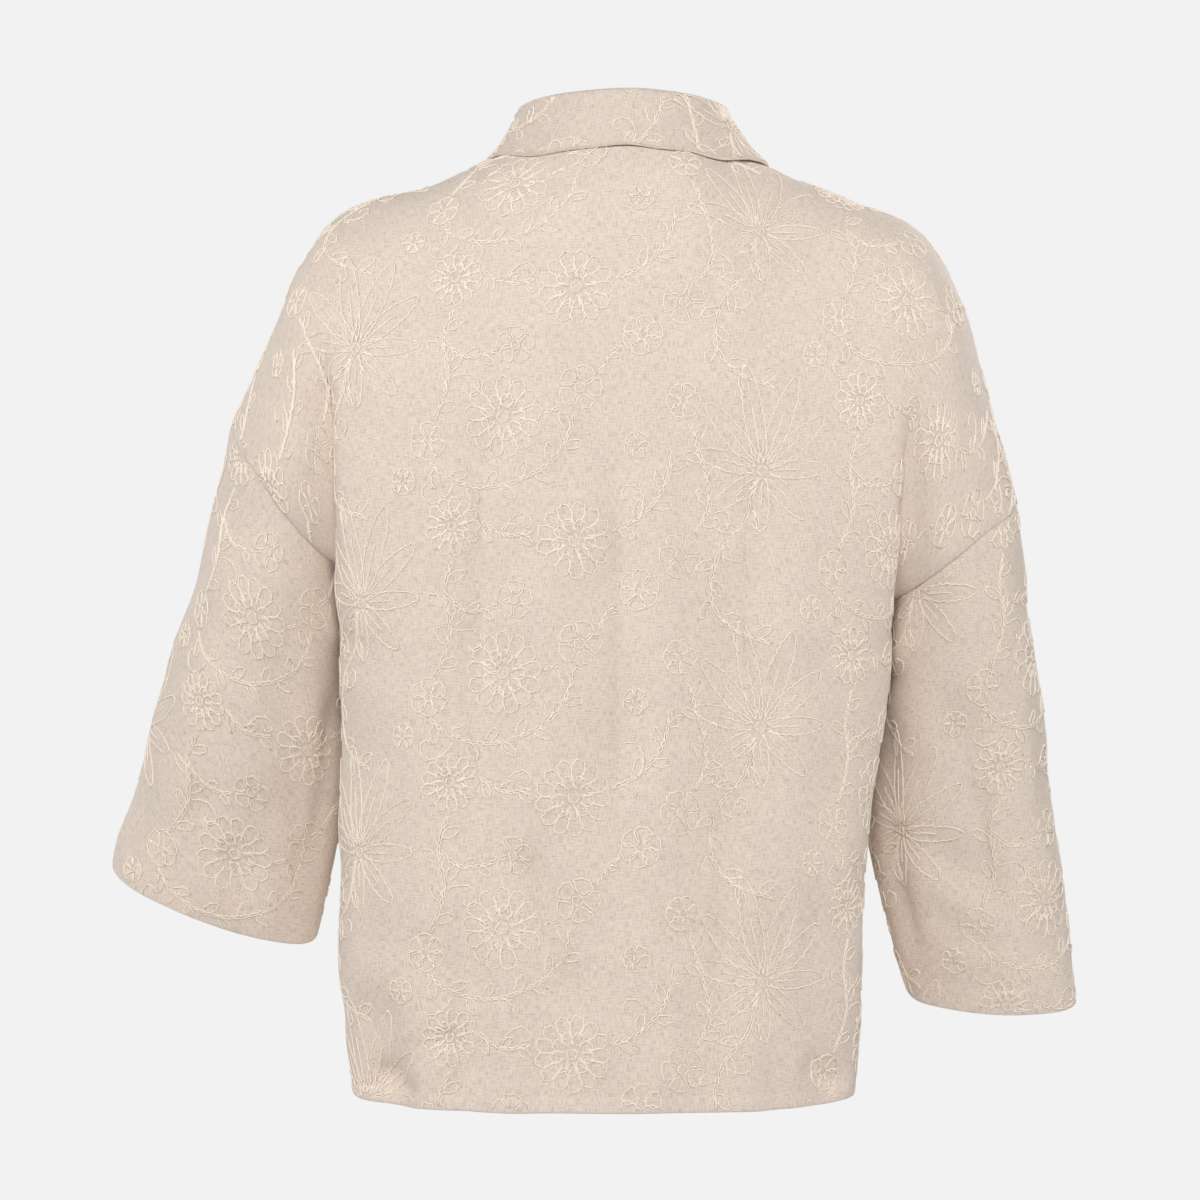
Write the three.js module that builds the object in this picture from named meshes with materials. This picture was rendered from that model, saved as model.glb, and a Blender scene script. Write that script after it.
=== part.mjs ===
// A boxy linen shirt jacket in its worn form: a turned-down collar, drop shoulders,
// wide three-quarter sleeves and a straight hem.
// Millimetres. +Z is up, -Y is the front and +X is the wearer's left.
// The origin is between the two neck points of the shoulders, where the wearer holds it up.
import * as THREE from 'three';

// Cloth and seams
const clothWall = 1.6;
const leafWall = 2;
const seamGap = 0.3;
const sharedAgreement = 0.8;
const linen = { color: 0xded0c2, roughness: 0.92, metalness: 0 };
const shell = { color: 0xe6d9c6, roughness: 0.35, metalness: 0 };

// Neckline: a round opening that drops towards the front
const neck = { centre: -5, halfWidth: 76, back: 66, front: 62, backDrop: 3, frontDrop: 66, frontCurve: 2.1 };

// Torso: level sections from the hem up. left and right are the half widths at the side seams,
// back and front the depths at the centre lines.
const hemHeight = -673;
const hemRise = 6;
const yokeHeight = -360;
const torsoSections = [
  { z: -673, left: 175, right: 158, back: 142, front: 150 },
  { z: -640, left: 179, right: 160, back: 141, front: 149 },
  { z: -570, left: 183, right: 163, back: 139, front: 147 },
  { z: -480, left: 182, right: 169, back: 137, front: 145 },
  { z: -420, left: 183, right: 178, back: 136, front: 144 },
  { z: -350, left: 184, right: 185, back: 136, front: 143 },
  { z: -290, left: 183, right: 191, back: 135, front: 142 },
];
const torsoRoundness = 0.77;
const backCornerLean = 0.25;
const shoulderRoundness = { back: 0.87, front: 1 };

// Shoulder ridges, from the neck point (along 0) over the drop shoulder to the armhole's top (along 1)
const ridges = {
  left: [
    { along: 0, x: 71, z: 0 },
    { along: 0.2, x: 132, z: -24 },
    { along: 0.36, x: 176, z: -38 },
    { along: 0.48, x: 207, z: -54 },
    { along: 0.6, x: 226, z: -82 },
    { along: 0.7, x: 238, z: -111 },
    { along: 0.81, x: 251, z: -140 },
    { along: 1, x: 271, z: -193 },
  ],
  right: [
    { along: 0, x: 81, z: 0 },
    { along: 0.17, x: 134, z: -24 },
    { along: 0.3, x: 176, z: -38 },
    { along: 0.4, x: 208, z: -55 },
    { along: 0.5, x: 235, z: -82 },
    { along: 0.59, x: 250, z: -111 },
    { along: 0.75, x: 266, z: -164 },
    { along: 0.83, x: 273, z: -197 },
    { along: 1, x: 288, z: -255 },
  ],
};

// Sleeves: oval sections from the armhole (along 0) to the hem of the sleeve (along 8).
// outer and inner are the two ends of an oval, deep is half its depth, drop and turn are how far
// its back lies below and outside its middle, and y is where its middle is.
const sleeveSections = {
  left: [
    { along: 0, outerX: 271, outerZ: -193, innerX: 183.2, innerZ: -300, deep: 88, drop: 10, turn: 12, y: 0 },
    { along: 1, outerX: 280, outerZ: -225, innerX: 188, innerZ: -318, deep: 86, drop: 10, turn: 8, y: -4 },
    { along: 2, outerX: 290, outerZ: -262, innerX: 189, innerZ: -340, deep: 84, drop: 9, turn: 5, y: -8 },
    { along: 3, outerX: 299, outerZ: -300, innerX: 190, innerZ: -366, deep: 80, drop: 8, turn: 2, y: -10 },
    { along: 4, outerX: 312, outerZ: -341, innerX: 191, innerZ: -400, deep: 72, drop: 9, turn: 0, y: -12 },
    { along: 5, outerX: 325, outerZ: -384, innerX: 193, innerZ: -436, deep: 64, drop: 11, turn: 0, y: -15 },
    { along: 6, outerX: 337, outerZ: -428, innerX: 197, innerZ: -474, deep: 55, drop: 13, turn: 0, y: -19 },
    { along: 7, outerX: 352, outerZ: -473, innerX: 206, innerZ: -520, deep: 46, drop: 16, turn: 0, y: -24 },
    { along: 8, outerX: 364, outerZ: -513, innerX: 217, innerZ: -565, deep: 38, drop: 18, turn: 0, y: -29 },
  ],
  right: [
    { along: 0, outerX: 288, outerZ: -255, innerX: 187.6, innerZ: -325, deep: 92, drop: 0, turn: 10, y: 0 },
    { along: 1, outerX: 293, outerZ: -290, innerX: 192, innerZ: -342, deep: 91, drop: 2, turn: 7, y: -4 },
    { along: 2, outerX: 298, outerZ: -330, innerX: 190, innerZ: -364, deep: 88, drop: 3, turn: 4, y: -8 },
    { along: 3, outerX: 305, outerZ: -370, innerX: 187, innerZ: -392, deep: 82, drop: 4, turn: 0, y: -10 },
    { along: 4, outerX: 310, outerZ: -412, innerX: 184, innerZ: -428, deep: 75, drop: 5, turn: 0, y: -12 },
    { along: 5, outerX: 314, outerZ: -456, innerX: 182, innerZ: -464, deep: 68, drop: 6, turn: 0, y: -14 },
    { along: 6, outerX: 320, outerZ: -500, innerX: 186, innerZ: -504, deep: 62, drop: 7, turn: 0, y: -16 },
    { along: 7, outerX: 328, outerZ: -555, innerX: 198, innerZ: -555, deep: 58, drop: 9, turn: 0, y: -19 },
    { along: 8, outerX: 334, outerZ: -611, innerX: 213, innerZ: -607, deep: 55, drop: 10, turn: 0, y: -22 },
  ],
};
const sides = {
  left: { sign: 1, underarmHeight: sleeveSections.left[0].innerZ },
  right: { sign: -1, underarmHeight: sleeveSections.right[0].innerZ },
};

// Largest folds of the body: each runs from (x, z) to (toX, toZ) and fades out at its ends.
// width is from its middle to where it is a third as deep. A depth below zero is a ridge.
const foldFade = { length: 0.35, before: 0.3 };
const foldLean = 0.35;
const bodyFolds = {
  back: [
    { x: 206, z: -145, toX: 203, toZ: -320, width: 13, depth: 17 },
    { x: -212, z: -190, toX: -203, toZ: -350, width: 13, depth: 15 },
    { x: 102, z: -190, toX: 98, toZ: -470, width: 18, depth: 4 },
    { x: 48, z: -260, toX: 45, toZ: -520, width: 20, depth: -3 },
    { x: 5, z: -200, toX: 4, toZ: -470, width: 17, depth: 4 },
    { x: -82, z: -230, toX: -58, toZ: -640, width: 24, depth: 5 },
    { x: 68, z: -500, toX: 22, toZ: -580, width: 14, depth: 5 },
    { x: 166, z: -590, toX: 158, toZ: -700, width: 17, depth: 10 },
    { x: -148, z: -600, toX: -150, toZ: -700, width: 18, depth: 5 },
  ],
  front: [
    { x: 206, z: -150, toX: 198, toZ: -330, width: 14, depth: 15 },
    { x: -212, z: -190, toX: -198, toZ: -350, width: 14, depth: 14 },
    { x: 96, z: -240, toX: 112, toZ: -560, width: 22, depth: 5 },
    { x: -92, z: -260, toX: -104, toZ: -600, width: 24, depth: 5 },
    { x: 58, z: -430, toX: 50, toZ: -700, width: 20, depth: 4 },
    { x: -146, z: -560, toX: -152, toZ: -700, width: 18, depth: 6 },
  ],
};

// Largest folds of the sleeves: turn is degrees round from the inner end by way of the back.
// On the flat map that they are drawn on, one step along is as long as sleeveStep degrees.
const sleeveSteps = 8;
const sleeveStep = 24;
const sleeveFolds = {
  left: [
    { turn: 80, along: 3.4, toTurn: 48, toAlong: 6.2, width: 13, depth: 4 },
    { turn: 118, along: 6.1, toTurn: 70, toAlong: 7.3, width: 10, depth: 5 },
    { turn: 250, along: 4.4, toTurn: 300, toAlong: 6.2, width: 13, depth: 5 },
    { turn: 230, along: 5.8, toTurn: 290, toAlong: 7.0, width: 12, depth: 4 },
  ],
  right: [
    { turn: 70, along: 2.6, toTurn: 100, toAlong: 5.6, width: 13, depth: 4 },
    { turn: 60, along: 5.8, toTurn: 105, toAlong: 6.4, width: 10, depth: 4 },
    { turn: 255, along: 4.2, toTurn: 300, toAlong: 6.0, width: 13, depth: 5 },
    { turn: 235, along: 5.6, toTurn: 285, toAlong: 6.8, width: 12, depth: 4 },
  ],
};

// Collar: the stand rises from the neckline to a fold line, and the leaf turns down from there.
const foldLine = { halfWidth: 71, back: 70, front: 68, backHeight: 34, sideHeight: 28, frontHeight: -40 };
const standLap = 12;
const standFoot = { out: 0.2, up: 1.2 };
const standLapping = { from: 150, over: 20 };
const leafEnd = 168;
const leafClear = 2.4;
const leafReach = 7;
const leafBend = { out: 0.3, down: 0.55 };
const leafEdge = [
  { angle: -168, x: -47, y: -99 },
  { angle: -150, x: -78, y: -84 },
  { angle: -130, x: -99, y: -60 },
  { angle: -110, x: -110, y: -30 },
  { angle: -90, x: -111, y: 6 },
  { angle: -70, x: -100, y: 42 },
  { angle: -50, x: -82, y: 69 },
  { angle: -25, x: -48, y: 91 },
  { angle: 0, x: -5, y: 96 },
  { angle: 25, x: 37, y: 91 },
  { angle: 50, x: 68, y: 68 },
  { angle: 70, x: 84, y: 39 },
  { angle: 90, x: 92, y: 4 },
  { angle: 110, x: 93, y: -31 },
  { angle: 130, x: 84, y: -60 },
  { angle: 150, x: 66, y: -84 },
  { angle: 168, x: 37, y: -99 },
];

// Front bands and buttons
const bandHalf = 16;
const bandLap = 6;
const bandTopDrop = 3;
const buttonHeights = [-125, -225, -325, -425, -525];
const button = { radius: 9, rim: 3, dish: 1.8, dishRadius: 6 };

// Fineness of the solids
const lowerRows = 8;
const upperRows = 12;
const neckShare = 0.28;
const neckCells = 4;
const ridgeStops = [0.14, 0.28, 0.42, 0.55, 0.67, 0.77, 0.86, 0.93, 1];
const sleeveRings = 13;
const standCells = 40;
const leafCells = 44;

const vector = (x, y, z) => new THREE.Vector3(x, y, z);
const radians = THREE.MathUtils.degToRad;
const mix = THREE.MathUtils.lerp;
const ease = (share) => THREE.MathUtils.smoothstep(share, 0, 1);

// A smooth curve through one column of a table, read at a place along its key column
function valueAt(table, key, column, place) {
  let row = 0;
  while (row < table.length - 2 && place > table[row + 1][key]) row += 1;
  const slope = (index) => {
    const before = table[Math.max(index - 1, 0)];
    const after = table[Math.min(index + 1, table.length - 1)];
    return (after[column] - before[column]) / (after[key] - before[key]);
  };
  const span = table[row + 1][key] - table[row][key];
  const t = THREE.MathUtils.clamp((place - table[row][key]) / span, 0, 1);
  const from = (2 * t ** 3 - 3 * t ** 2 + 1) * table[row][column];
  const to = (3 * t ** 2 - 2 * t ** 3) * table[row + 1][column];
  const leave = (t ** 3 - 2 * t ** 2 + t) * span * slope(row);
  const arrive = (t ** 3 - t ** 2) * span * slope(row + 1);
  return from + to + leave + arrive;
}

// How deep the folds of a list are at one place, on a flat map of the cloth
function foldDepth(folds, x, y) {
  let depth = 0;
  for (const fold of folds) {
    const run = { x: fold.toX - fold.x, y: fold.toY - fold.y };
    const length = Math.hypot(run.x, run.y);
    const along = ((x - fold.x) * run.x + (y - fold.y) * run.y) / length ** 2;
    const across = ((x - fold.x) * run.y - (y - fold.y) * run.x) / length;
    const fadeIn = ease(along / foldFade.length + foldFade.before);
    const fadeOut = ease((1 - along) / foldFade.length + foldFade.before);
    depth += fold.depth * fadeIn * fadeOut * Math.exp(-((across / fold.width) ** 2));
  }
  return depth;
}

// The neckline, at an angle round from the centre back
function neckPoint(angle) {
  const turn = radians(angle);
  const depth = Math.cos(turn);
  const x = neck.centre + neck.halfWidth * Math.sin(turn);
  if (depth > 0) return vector(x, neck.back * depth, -neck.backDrop * depth ** 2);
  return vector(x, neck.front * depth, -neck.frontDrop * (-depth) ** neck.frontCurve);
}

// A level section of the torso. across runs from the centre line (0) to the side seam (1).
function torsoPoint(side, face, height, across) {
  const turn = (1 - across) * Math.PI / 2;
  const wide = Math.cos(turn) ** torsoRoundness;
  const deep = Math.sin(turn) ** torsoRoundness;
  const lean = face === 'back' ? 1 + backCornerLean * deep : 1;
  const x = sides[side].sign * valueAt(torsoSections, 'z', side, height) * wide * lean;
  const y = valueAt(torsoSections, 'z', face, height) * deep;
  return vector(x, face === 'back' ? y : -y, height);
}

// The line where the torso's level sections end: it dips between the two underarms
function yokeLine(side, face, across) {
  const height = mix(yokeHeight, sides[side].underarmHeight, across ** 4);
  return torsoPoint(side, face, height, across);
}

// The panel's top: the neckline as far as the neck point, then the shoulder ridge
function topLine(side, face, across) {
  if (across < neckShare) {
    const angle = 90 * across / neckShare;
    return neckPoint(sides[side].sign * (face === 'back' ? angle : 180 - angle));
  }
  const along = (across - neckShare) / (1 - neckShare);
  const ridge = ridges[side];
  const x = sides[side].sign * valueAt(ridge, 'along', 'x', along);
  return vector(x, 0, valueAt(ridge, 'along', 'z', along));
}

// One point of a sleeve, turned round from its inner end by way of the back
function sleevePoint(side, along, turn) {
  const size = (column) => valueAt(sleeveSections[side], 'along', column, along);
  const out = Math.cos(radians(turn));
  const deep = Math.sin(radians(turn));
  const x = mix(size('outerX'), size('innerX'), (1 + out) / 2) + size('turn') * deep;
  const y = size('y') + size('deep') * deep;
  const z = mix(size('outerZ'), size('innerZ'), (1 + out) / 2) - size('drop') * deep;
  return vector(sides[side].sign * x, y, z);
}

// The armhole, from the underarm (0) to its top (1), along the panel's own face
function armhole(side, face, up) {
  return sleevePoint(side, 0, face === 'back' ? 180 * up : 360 - 180 * up);
}

// The panel above the yoke line is stretched between four lines: the yoke line, the top line,
// the centre line and the armhole. It rolls over the shoulder like a quarter of an oval.
function upperPoint(side, face, across, up) {
  const turn = up * Math.PI / 2;
  const climb = {
    x: (1 - Math.cos(Math.PI * up)) / 2,
    y: 1 - Math.cos(turn) ** shoulderRoundness[face],
    z: Math.sin(turn) ** shoulderRoundness[face],
  };
  const sleeveShare = across ** 2;
  const low = yokeLine(side, face, across);
  const high = topLine(side, face, across);
  const underarm = yokeLine(side, face, 1);
  const armholeTop = topLine(side, face, 1);
  const edge = armhole(side, face, up);
  const point = vector(0, 0, 0);
  for (const axis of ['x', 'y', 'z']) {
    const plain = mix(underarm[axis], armholeTop[axis], climb[axis]);
    point[axis] = mix(low[axis], high[axis], climb[axis]) + sleeveShare * (edge[axis] - plain);
  }
  return point;
}

// A point of a body panel. across runs from the centre line to the side, up from the hem (0)
// past the yoke line (1) to the top (2).
function bodyPoint(side, face, across, up) {
  let point;
  if (up <= 1) {
    const top = yokeLine(side, face, across).z;
    const bottom = hemHeight + hemRise * across ** 3;
    point = torsoPoint(side, face, mix(bottom, top, up), across);
  } else {
    point = upperPoint(side, face, across, up - 1);
  }
  const folds = bodyFolds[face].map((fold) => ({ ...fold, y: fold.z, toY: fold.toZ }));
  const seamFade = (1 - across ** 10) * (1 - Math.max(up - 1, 0) ** 6);
  const depth = foldDepth(folds, point.x, point.z) * seamFade;
  const inward = vector(-foldLean * point.x, -point.y, 0).normalize();
  return point.addScaledVector(inward, depth);
}

// Where a front row is a given distance from the centre line
function acrossAt(side, up, distance) {
  let across = 0;
  let walked = 0;
  let last = bodyPoint(side, 'front', 0, up);
  const step = 0.004;
  while (walked < distance) {
    across += step;
    const next = bodyPoint(side, 'front', across, up);
    walked += next.distanceTo(last);
    last = next;
  }
  return across;
}

// The rows of a half panel: across runs over the neck, then over the shoulder
const upStops = [];
for (let row = 0; row < lowerRows; row += 1) upStops.push(row / lowerRows);
for (let row = 0; row <= upperRows; row += 1) upStops.push(1 + row / upperRows);
const sideStops = ridgeStops.map((stop) => mix(neckShare, 1, stop));

function halfPanel(side, face) {
  return upStops.map((up) => {
    const start = face === 'back' ? 0 : acrossAt(side, up, bandHalf);
    const stops = face === 'back' ? [] : [0];
    for (let cell = 0; cell <= neckCells; cell += 1) stops.push(mix(start, neckShare, cell / neckCells));
    return [...stops, ...sideStops].map((across) => bodyPoint(side, face, across, up));
  });
}

// A sleeve's rings meet the panels' points round the armhole
function sleeveGrid(side) {
  const folds = sleeveFolds[side].map((fold) => ({
    x: fold.turn,
    y: fold.along * sleeveStep,
    toX: fold.toTurn,
    toY: fold.toAlong * sleeveStep,
    width: fold.width,
    depth: fold.depth,
  }));
  const rings = [];
  for (let ring = 0; ring <= sleeveRings; ring += 1) {
    const along = sleeveSteps * ring / sleeveRings;
    const middle = sleevePoint(side, along, 0).lerp(sleevePoint(side, along, 180), 0.5);
    const points = [];
    for (let cell = 0; cell < 2 * upperRows; cell += 1) {
      const turn = 180 * cell / upperRows;
      const point = sleevePoint(side, along, turn);
      const depth = foldDepth(folds, turn, along * sleeveStep) * ease(along);
      const inward = middle.clone().sub(point).normalize();
      points.push(point.addScaledVector(inward, depth));
    }
    rings.push(points);
  }
  return rings;
}

// Walks a grid's cells, with the corners in turn round each cell
function eachCell(grid, around, visit) {
  const columns = grid[0].length;
  for (let row = 0; row < grid.length - 1; row += 1) {
    for (let column = 0; column < (around ? columns : columns - 1); column += 1) {
      const next = (column + 1) % columns;
      visit([[row, column], [row, next], [row + 1, next], [row + 1, column]]);
    }
  }
}

const placeKey = (point) => point.toArray().map((value) => Math.round(value * 500)).join(' ');

// Outward directions at the points of some grids, shared where the grids meet
function directions(pieces) {
  const sums = new Map();
  for (const { grid, around, inside } of pieces) {
    let facing = 0;
    const found = [];
    eachCell(grid, around, (corners) => {
      const [a, b, c, d] = corners.map(([row, column]) => grid[row][column]);
      const normal = c.clone().sub(a).cross(d.clone().sub(b));
      const middle = a.clone().add(b).add(c).add(d).multiplyScalar(0.25);
      facing += normal.dot(middle.sub(inside(corners[0][0])));
      found.push({ normal, points: [a, b, c, d] });
    });
    for (const { normal, points } of found) {
      for (const point of points) {
        const key = placeKey(point);
        if (!sums.has(key)) sums.set(key, vector(0, 0, 0));
        sums.get(key).addScaledVector(normal, Math.sign(facing));
      }
    }
  }
  return (point) => sums.get(placeKey(point)).clone().normalize();
}

// Moves one edge of a grid back: half a gap at a seam, square to it, or by more along the cloth
function drawBack(grid, edge) {
  const distance = edge.by ?? seamGap / 2;
  const rows = grid.length;
  const columns = grid[0].length;
  const lastOf = { row: rows - 1, column: columns - 1 };
  const count = edge.row === undefined ? rows : columns;
  const at = (index, inset) => {
    if (edge.row === undefined) return grid[index][edge.column === 0 ? inset : lastOf.column - inset];
    return grid[edge.row === 0 ? inset : lastOf.row - inset][index];
  };
  const moved = [];
  for (let index = 0; index < count; index += 1) {
    const before = at(Math.max(index - 1, 0), 0);
    const after = at(Math.min(index + 1, count - 1), 0);
    const along = after.clone().sub(before).normalize();
    const inward = at(index, 1).clone().sub(at(index, 0));
    if (!edge.by) inward.addScaledVector(along, -inward.dot(along));
    inward.normalize();
    moved.push(at(index, 0).clone().addScaledVector(inward, distance));
  }
  moved.forEach((point, index) => at(index, 0).copy(point));
}

// A closed solid from an outer and an inner sheet of points with the same rows and columns
function wallBetween(outer, inner, around) {
  const columns = outer[0].length;
  const rows = outer.length;
  const positions = [...outer.flat(), ...inner.flat()].flatMap((point) => point.toArray());
  const innerStart = rows * columns;
  const index = [];
  const quad = (a, b, c, d) => index.push(a, b, c, a, c, d);
  eachCell(outer, around, (corners) => {
    const [a, b, c, d] = corners.map(([row, column]) => row * columns + column);
    quad(a, b, c, d);
    quad(d + innerStart, c + innerStart, b + innerStart, a + innerStart);
  });
  const rim = (a, b) => quad(b, a, a + innerStart, b + innerStart);
  for (let column = 0; column < (around ? columns : columns - 1); column += 1) {
    const next = (column + 1) % columns;
    rim(column, next);
    rim((rows - 1) * columns + next, (rows - 1) * columns + column);
  }
  for (let row = 0; row < rows - 1 && !around; row += 1) {
    rim((row + 1) * columns, row * columns);
    rim((row + 1) * columns - 1, (row + 2) * columns - 1);
  }
  const geometry = new THREE.BufferGeometry();
  geometry.setAttribute('position', new THREE.Float32BufferAttribute(positions, 3));
  geometry.setIndex(index);
  if (volumeOf(geometry) < 0) geometry.index.array.reverse();
  geometry.computeVertexNormals();
  return geometry;
}

function volumeOf(geometry) {
  const place = geometry.getAttribute('position');
  const corners = geometry.index.array;
  let volume = 0;
  for (let first = 0; first < corners.length; first += 3) {
    const [a, b, c] = [0, 1, 2].map((step) => (
      vector(0, 0, 0).fromBufferAttribute(place, corners[first + step])
    ));
    volume += a.dot(b.cross(c)) / 6;
  }
  return volume;
}

// The cloth of one piece: its sheet of points is moved out and in along its own directions,
// which are its neighbours' too wherever the two pieces run on into each other.
function clothPiece({ grid, around = false, inside, shared, out = 0, wall = clothWall, seams = [] }) {
  const own = directions([{ grid, around, inside }]);
  const outward = grid.map((row) => row.map((point) => {
    const mine = own(point);
    const common = shared ? shared(point) : mine;
    const agree = mine.dot(common);
    return agree > sharedAgreement ? common.divideScalar(agree) : mine;
  }));
  const sheet = grid.map((row) => row.map((point) => point.clone()));
  for (const seam of seams) drawBack(sheet, seam);
  const moved = (distance) => sheet.map((row, r) => row.map((point, c) => (
    point.clone().addScaledVector(outward[r][c], distance)
  )));
  return wallBetween(moved(out), moved(out - wall), around);
}

const jacket = new THREE.Group();

function addPiece(name, geometry, finish = linen) {
  const mesh = new THREE.Mesh(geometry, new THREE.MeshStandardMaterial(finish));
  mesh.name = name;
  jacket.add(mesh);
  return mesh;
}

// The whole outer surface, before it is cut into pieces
const halves = {};
for (const face of ['back', 'front']) {
  for (const side of ['left', 'right']) halves[face + side] = halfPanel(side, face);
}
const sleeves = { left: sleeveGrid('left'), right: sleeveGrid('right') };
const highestMiddle = upStops.length - 4;
const bodyMiddle = (row) => vector(0, 0, halves.backleft[Math.min(row, highestMiddle)][0].z);
const sleeveMiddle = (side) => (row) => {
  const ring = sleeves[side][row];
  return ring[0].clone().lerp(ring[upperRows], 0.5);
};
const surface = [
  ...Object.values(halves).map((grid) => ({ grid, around: false, inside: bodyMiddle })),
  { grid: sleeves.left, around: true, inside: sleeveMiddle('left') },
  { grid: sleeves.right, around: true, inside: sleeveMiddle('right') },
];
const sharedDirection = directions(surface);

// Back: one piece from side seam to side seam
const lastColumn = { column: 'last' };
const backGrid = halves.backright.map((row, index) => [
  ...row.slice(1).reverse(),
  ...halves.backleft[index],
]);
addPiece('back', clothPiece({
  grid: backGrid,
  inside: bodyMiddle,
  shared: sharedDirection,
  seams: [{ column: 0 }, lastColumn, { row: 'last' }],
}));

// Fronts: from the band to the side seam, the armhole and the shoulder seam
for (const side of ['left', 'right']) {
  addPiece(`front_${side}`, clothPiece({
    grid: halves['front' + side].map((row) => row.slice(1)),
    inside: bodyMiddle,
    shared: sharedDirection,
    seams: [{ column: 0 }, lastColumn, { row: 'last' }],
  }));
}

// Bands: the left one lies in line with the fronts, and the right one is buttoned over it
const leftBand = halves.frontleft.map((row, index) => {
  const other = halves.frontright[index];
  return [other[1], row[0], row[1]];
});
addPiece('band_left', clothPiece({
  grid: leftBand,
  inside: bodyMiddle,
  shared: sharedDirection,
  seams: [{ column: 0 }, lastColumn, { row: 'last', by: bandTopDrop }],
}));
const rightBand = halves.frontleft.map((row, index) => {
  const [, edge, next] = halves.frontright[index];
  const lap = edge.clone().lerp(next, bandLap / edge.distanceTo(next));
  return [lap, edge, row[0], row[1]];
});
addPiece('band_right', clothPiece({
  grid: rightBand,
  inside: bodyMiddle,
  out: clothWall + seamGap,
  seams: [{ row: 'last', by: bandTopDrop }],
}));

// Sleeves
for (const side of ['left', 'right']) {
  addPiece(`sleeve_${side}`, clothPiece({
    grid: sleeves[side],
    around: true,
    inside: sleeveMiddle(side),
    shared: sharedDirection,
    seams: [{ row: 0 }],
  }));
}

// The collar's fold line, at an angle round from the centre back
function foldPoint(angle) {
  const turn = radians(angle);
  const depth = Math.cos(turn);
  const x = neck.centre + foldLine.halfWidth * Math.sin(turn);
  if (depth > 0) {
    const height = mix(foldLine.sideHeight, foldLine.backHeight, depth);
    return vector(x, foldLine.back * depth, height);
  }
  const height = mix(foldLine.sideHeight, foldLine.frontHeight, (-depth) ** neck.frontCurve);
  return vector(x, foldLine.front * depth, height);
}

// Directions at the fold line: up along the stand, and out square to it and to the line
function foldFrame(angle) {
  const along = foldPoint(angle + 1).sub(foldPoint(angle - 1)).normalize();
  const up = foldPoint(angle).sub(neckPoint(angle));
  up.addScaledVector(along, -up.dot(along)).normalize();
  return { up, out: up.clone().cross(along) };
}

// Stand: its right end laps over its left end at the centre front
const outwardAt = (angle) => vector(Math.sin(radians(angle)), Math.cos(radians(angle)), 0);
const standAngles = [];
for (let cell = 0; cell <= standCells; cell += 1) {
  standAngles.push(mix(-180 - standLap, 180 + standLap, cell / standCells));
}
const standGrid = [0, 0.5, 1].map((up) => standAngles.map((angle) => {
  const lapped = ease((angle - standLapping.from) / standLapping.over) * (clothWall + seamGap);
  const foot = neckPoint(angle).addScaledVector(outwardAt(angle), standFoot.out);
  foot.z += standFoot.up;
  return foot.lerp(foldPoint(angle), up).addScaledVector(outwardAt(angle), -lapped);
}));
const standMiddle = () => vector(neck.centre, 0, -20);
addPiece('collar_stand', clothPiece({ grid: standGrid, inside: standMiddle }));

// Leaf: it rolls over the stand and its edge lies on the shoulders
const skin = new THREE.Mesh(mergedSkin(), new THREE.MeshBasicMaterial({ side: THREE.DoubleSide }));
const ray = new THREE.Raycaster();

function mergedSkin() {
  const positions = [];
  for (const { grid, around } of surface) {
    eachCell(grid, around, (corners) => {
      const [a, b, c, d] = corners.map(([row, column]) => grid[row][column]);
      for (const point of [a, b, c, a, c, d]) positions.push(...point.toArray());
    });
  }
  const geometry = new THREE.BufferGeometry();
  geometry.setAttribute('position', new THREE.Float32BufferAttribute(positions, 3));
  return geometry;
}

// The panels' face straight below or above a point
function faceAt(x, y) {
  ray.set(vector(x, y, 200), vector(0, 0, -1));
  const hit = ray.intersectObject(skin)[0];
  if (!hit) return null;
  const normal = hit.face.normal.clone();
  return { point: hit.point, normal: normal.multiplyScalar(Math.sign(normal.z)) };
}

// Lifts a point of the leaf until its wall is clear of the panels below it and close round it
function laidOver(point) {
  for (const [x, y] of [[0, 0], [1, 0], [-1, 0], [0, 1], [0, -1]]) {
    const face = faceAt(point.x + leafReach * x, point.y + leafReach * y);
    if (!face) continue;
    const height = point.clone().sub(face.point).dot(face.normal);
    const need = leafWall + leafClear - height;
    if (need > 0) point.addScaledVector(face.normal, need);
  }
  return point;
}

const leafRoll = [
  { out: -0.8, up: leafWall + 0.4 },
  { out: 1.6, up: leafWall + 0.5 },
  { out: 4.2, up: 1.2 },
];
const leafFall = [0.2, 0.4, 0.6, 0.8, 1];
const leafAngles = [];
for (let cell = 0; cell <= leafCells; cell += 1) leafAngles.push(mix(-leafEnd, leafEnd, cell / leafCells));
const rolled = leafRoll.map(({ out, up }) => leafAngles.map((angle) => (
  foldPoint(angle).addScaledVector(foldFrame(angle).out, out).addScaledVector(foldFrame(angle).up, up)
)));
const fallen = leafFall.map((share) => leafAngles.map((angle, index) => {
  const start = rolled[2][index];
  const x = valueAt(leafEdge, 'angle', 'x', angle);
  const y = valueAt(leafEdge, 'angle', 'y', angle);
  const edge = laidOver(vector(x, y, faceAt(x, y).point.z));
  const bend = start.clone().lerp(edge, leafBend.out);
  bend.z = mix(start.z, edge.z, leafBend.down);
  return laidOver(start.clone().lerp(bend, share).lerp(bend.clone().lerp(edge, share), share));
}));
const leafInside = (row) => (row < 2 ? vector(neck.centre, 0, -20) : vector(neck.centre, 0, -60));
addPiece('collar_leaf', clothPiece({ grid: [...rolled, ...fallen], inside: leafInside, wall: leafWall }));

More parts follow.
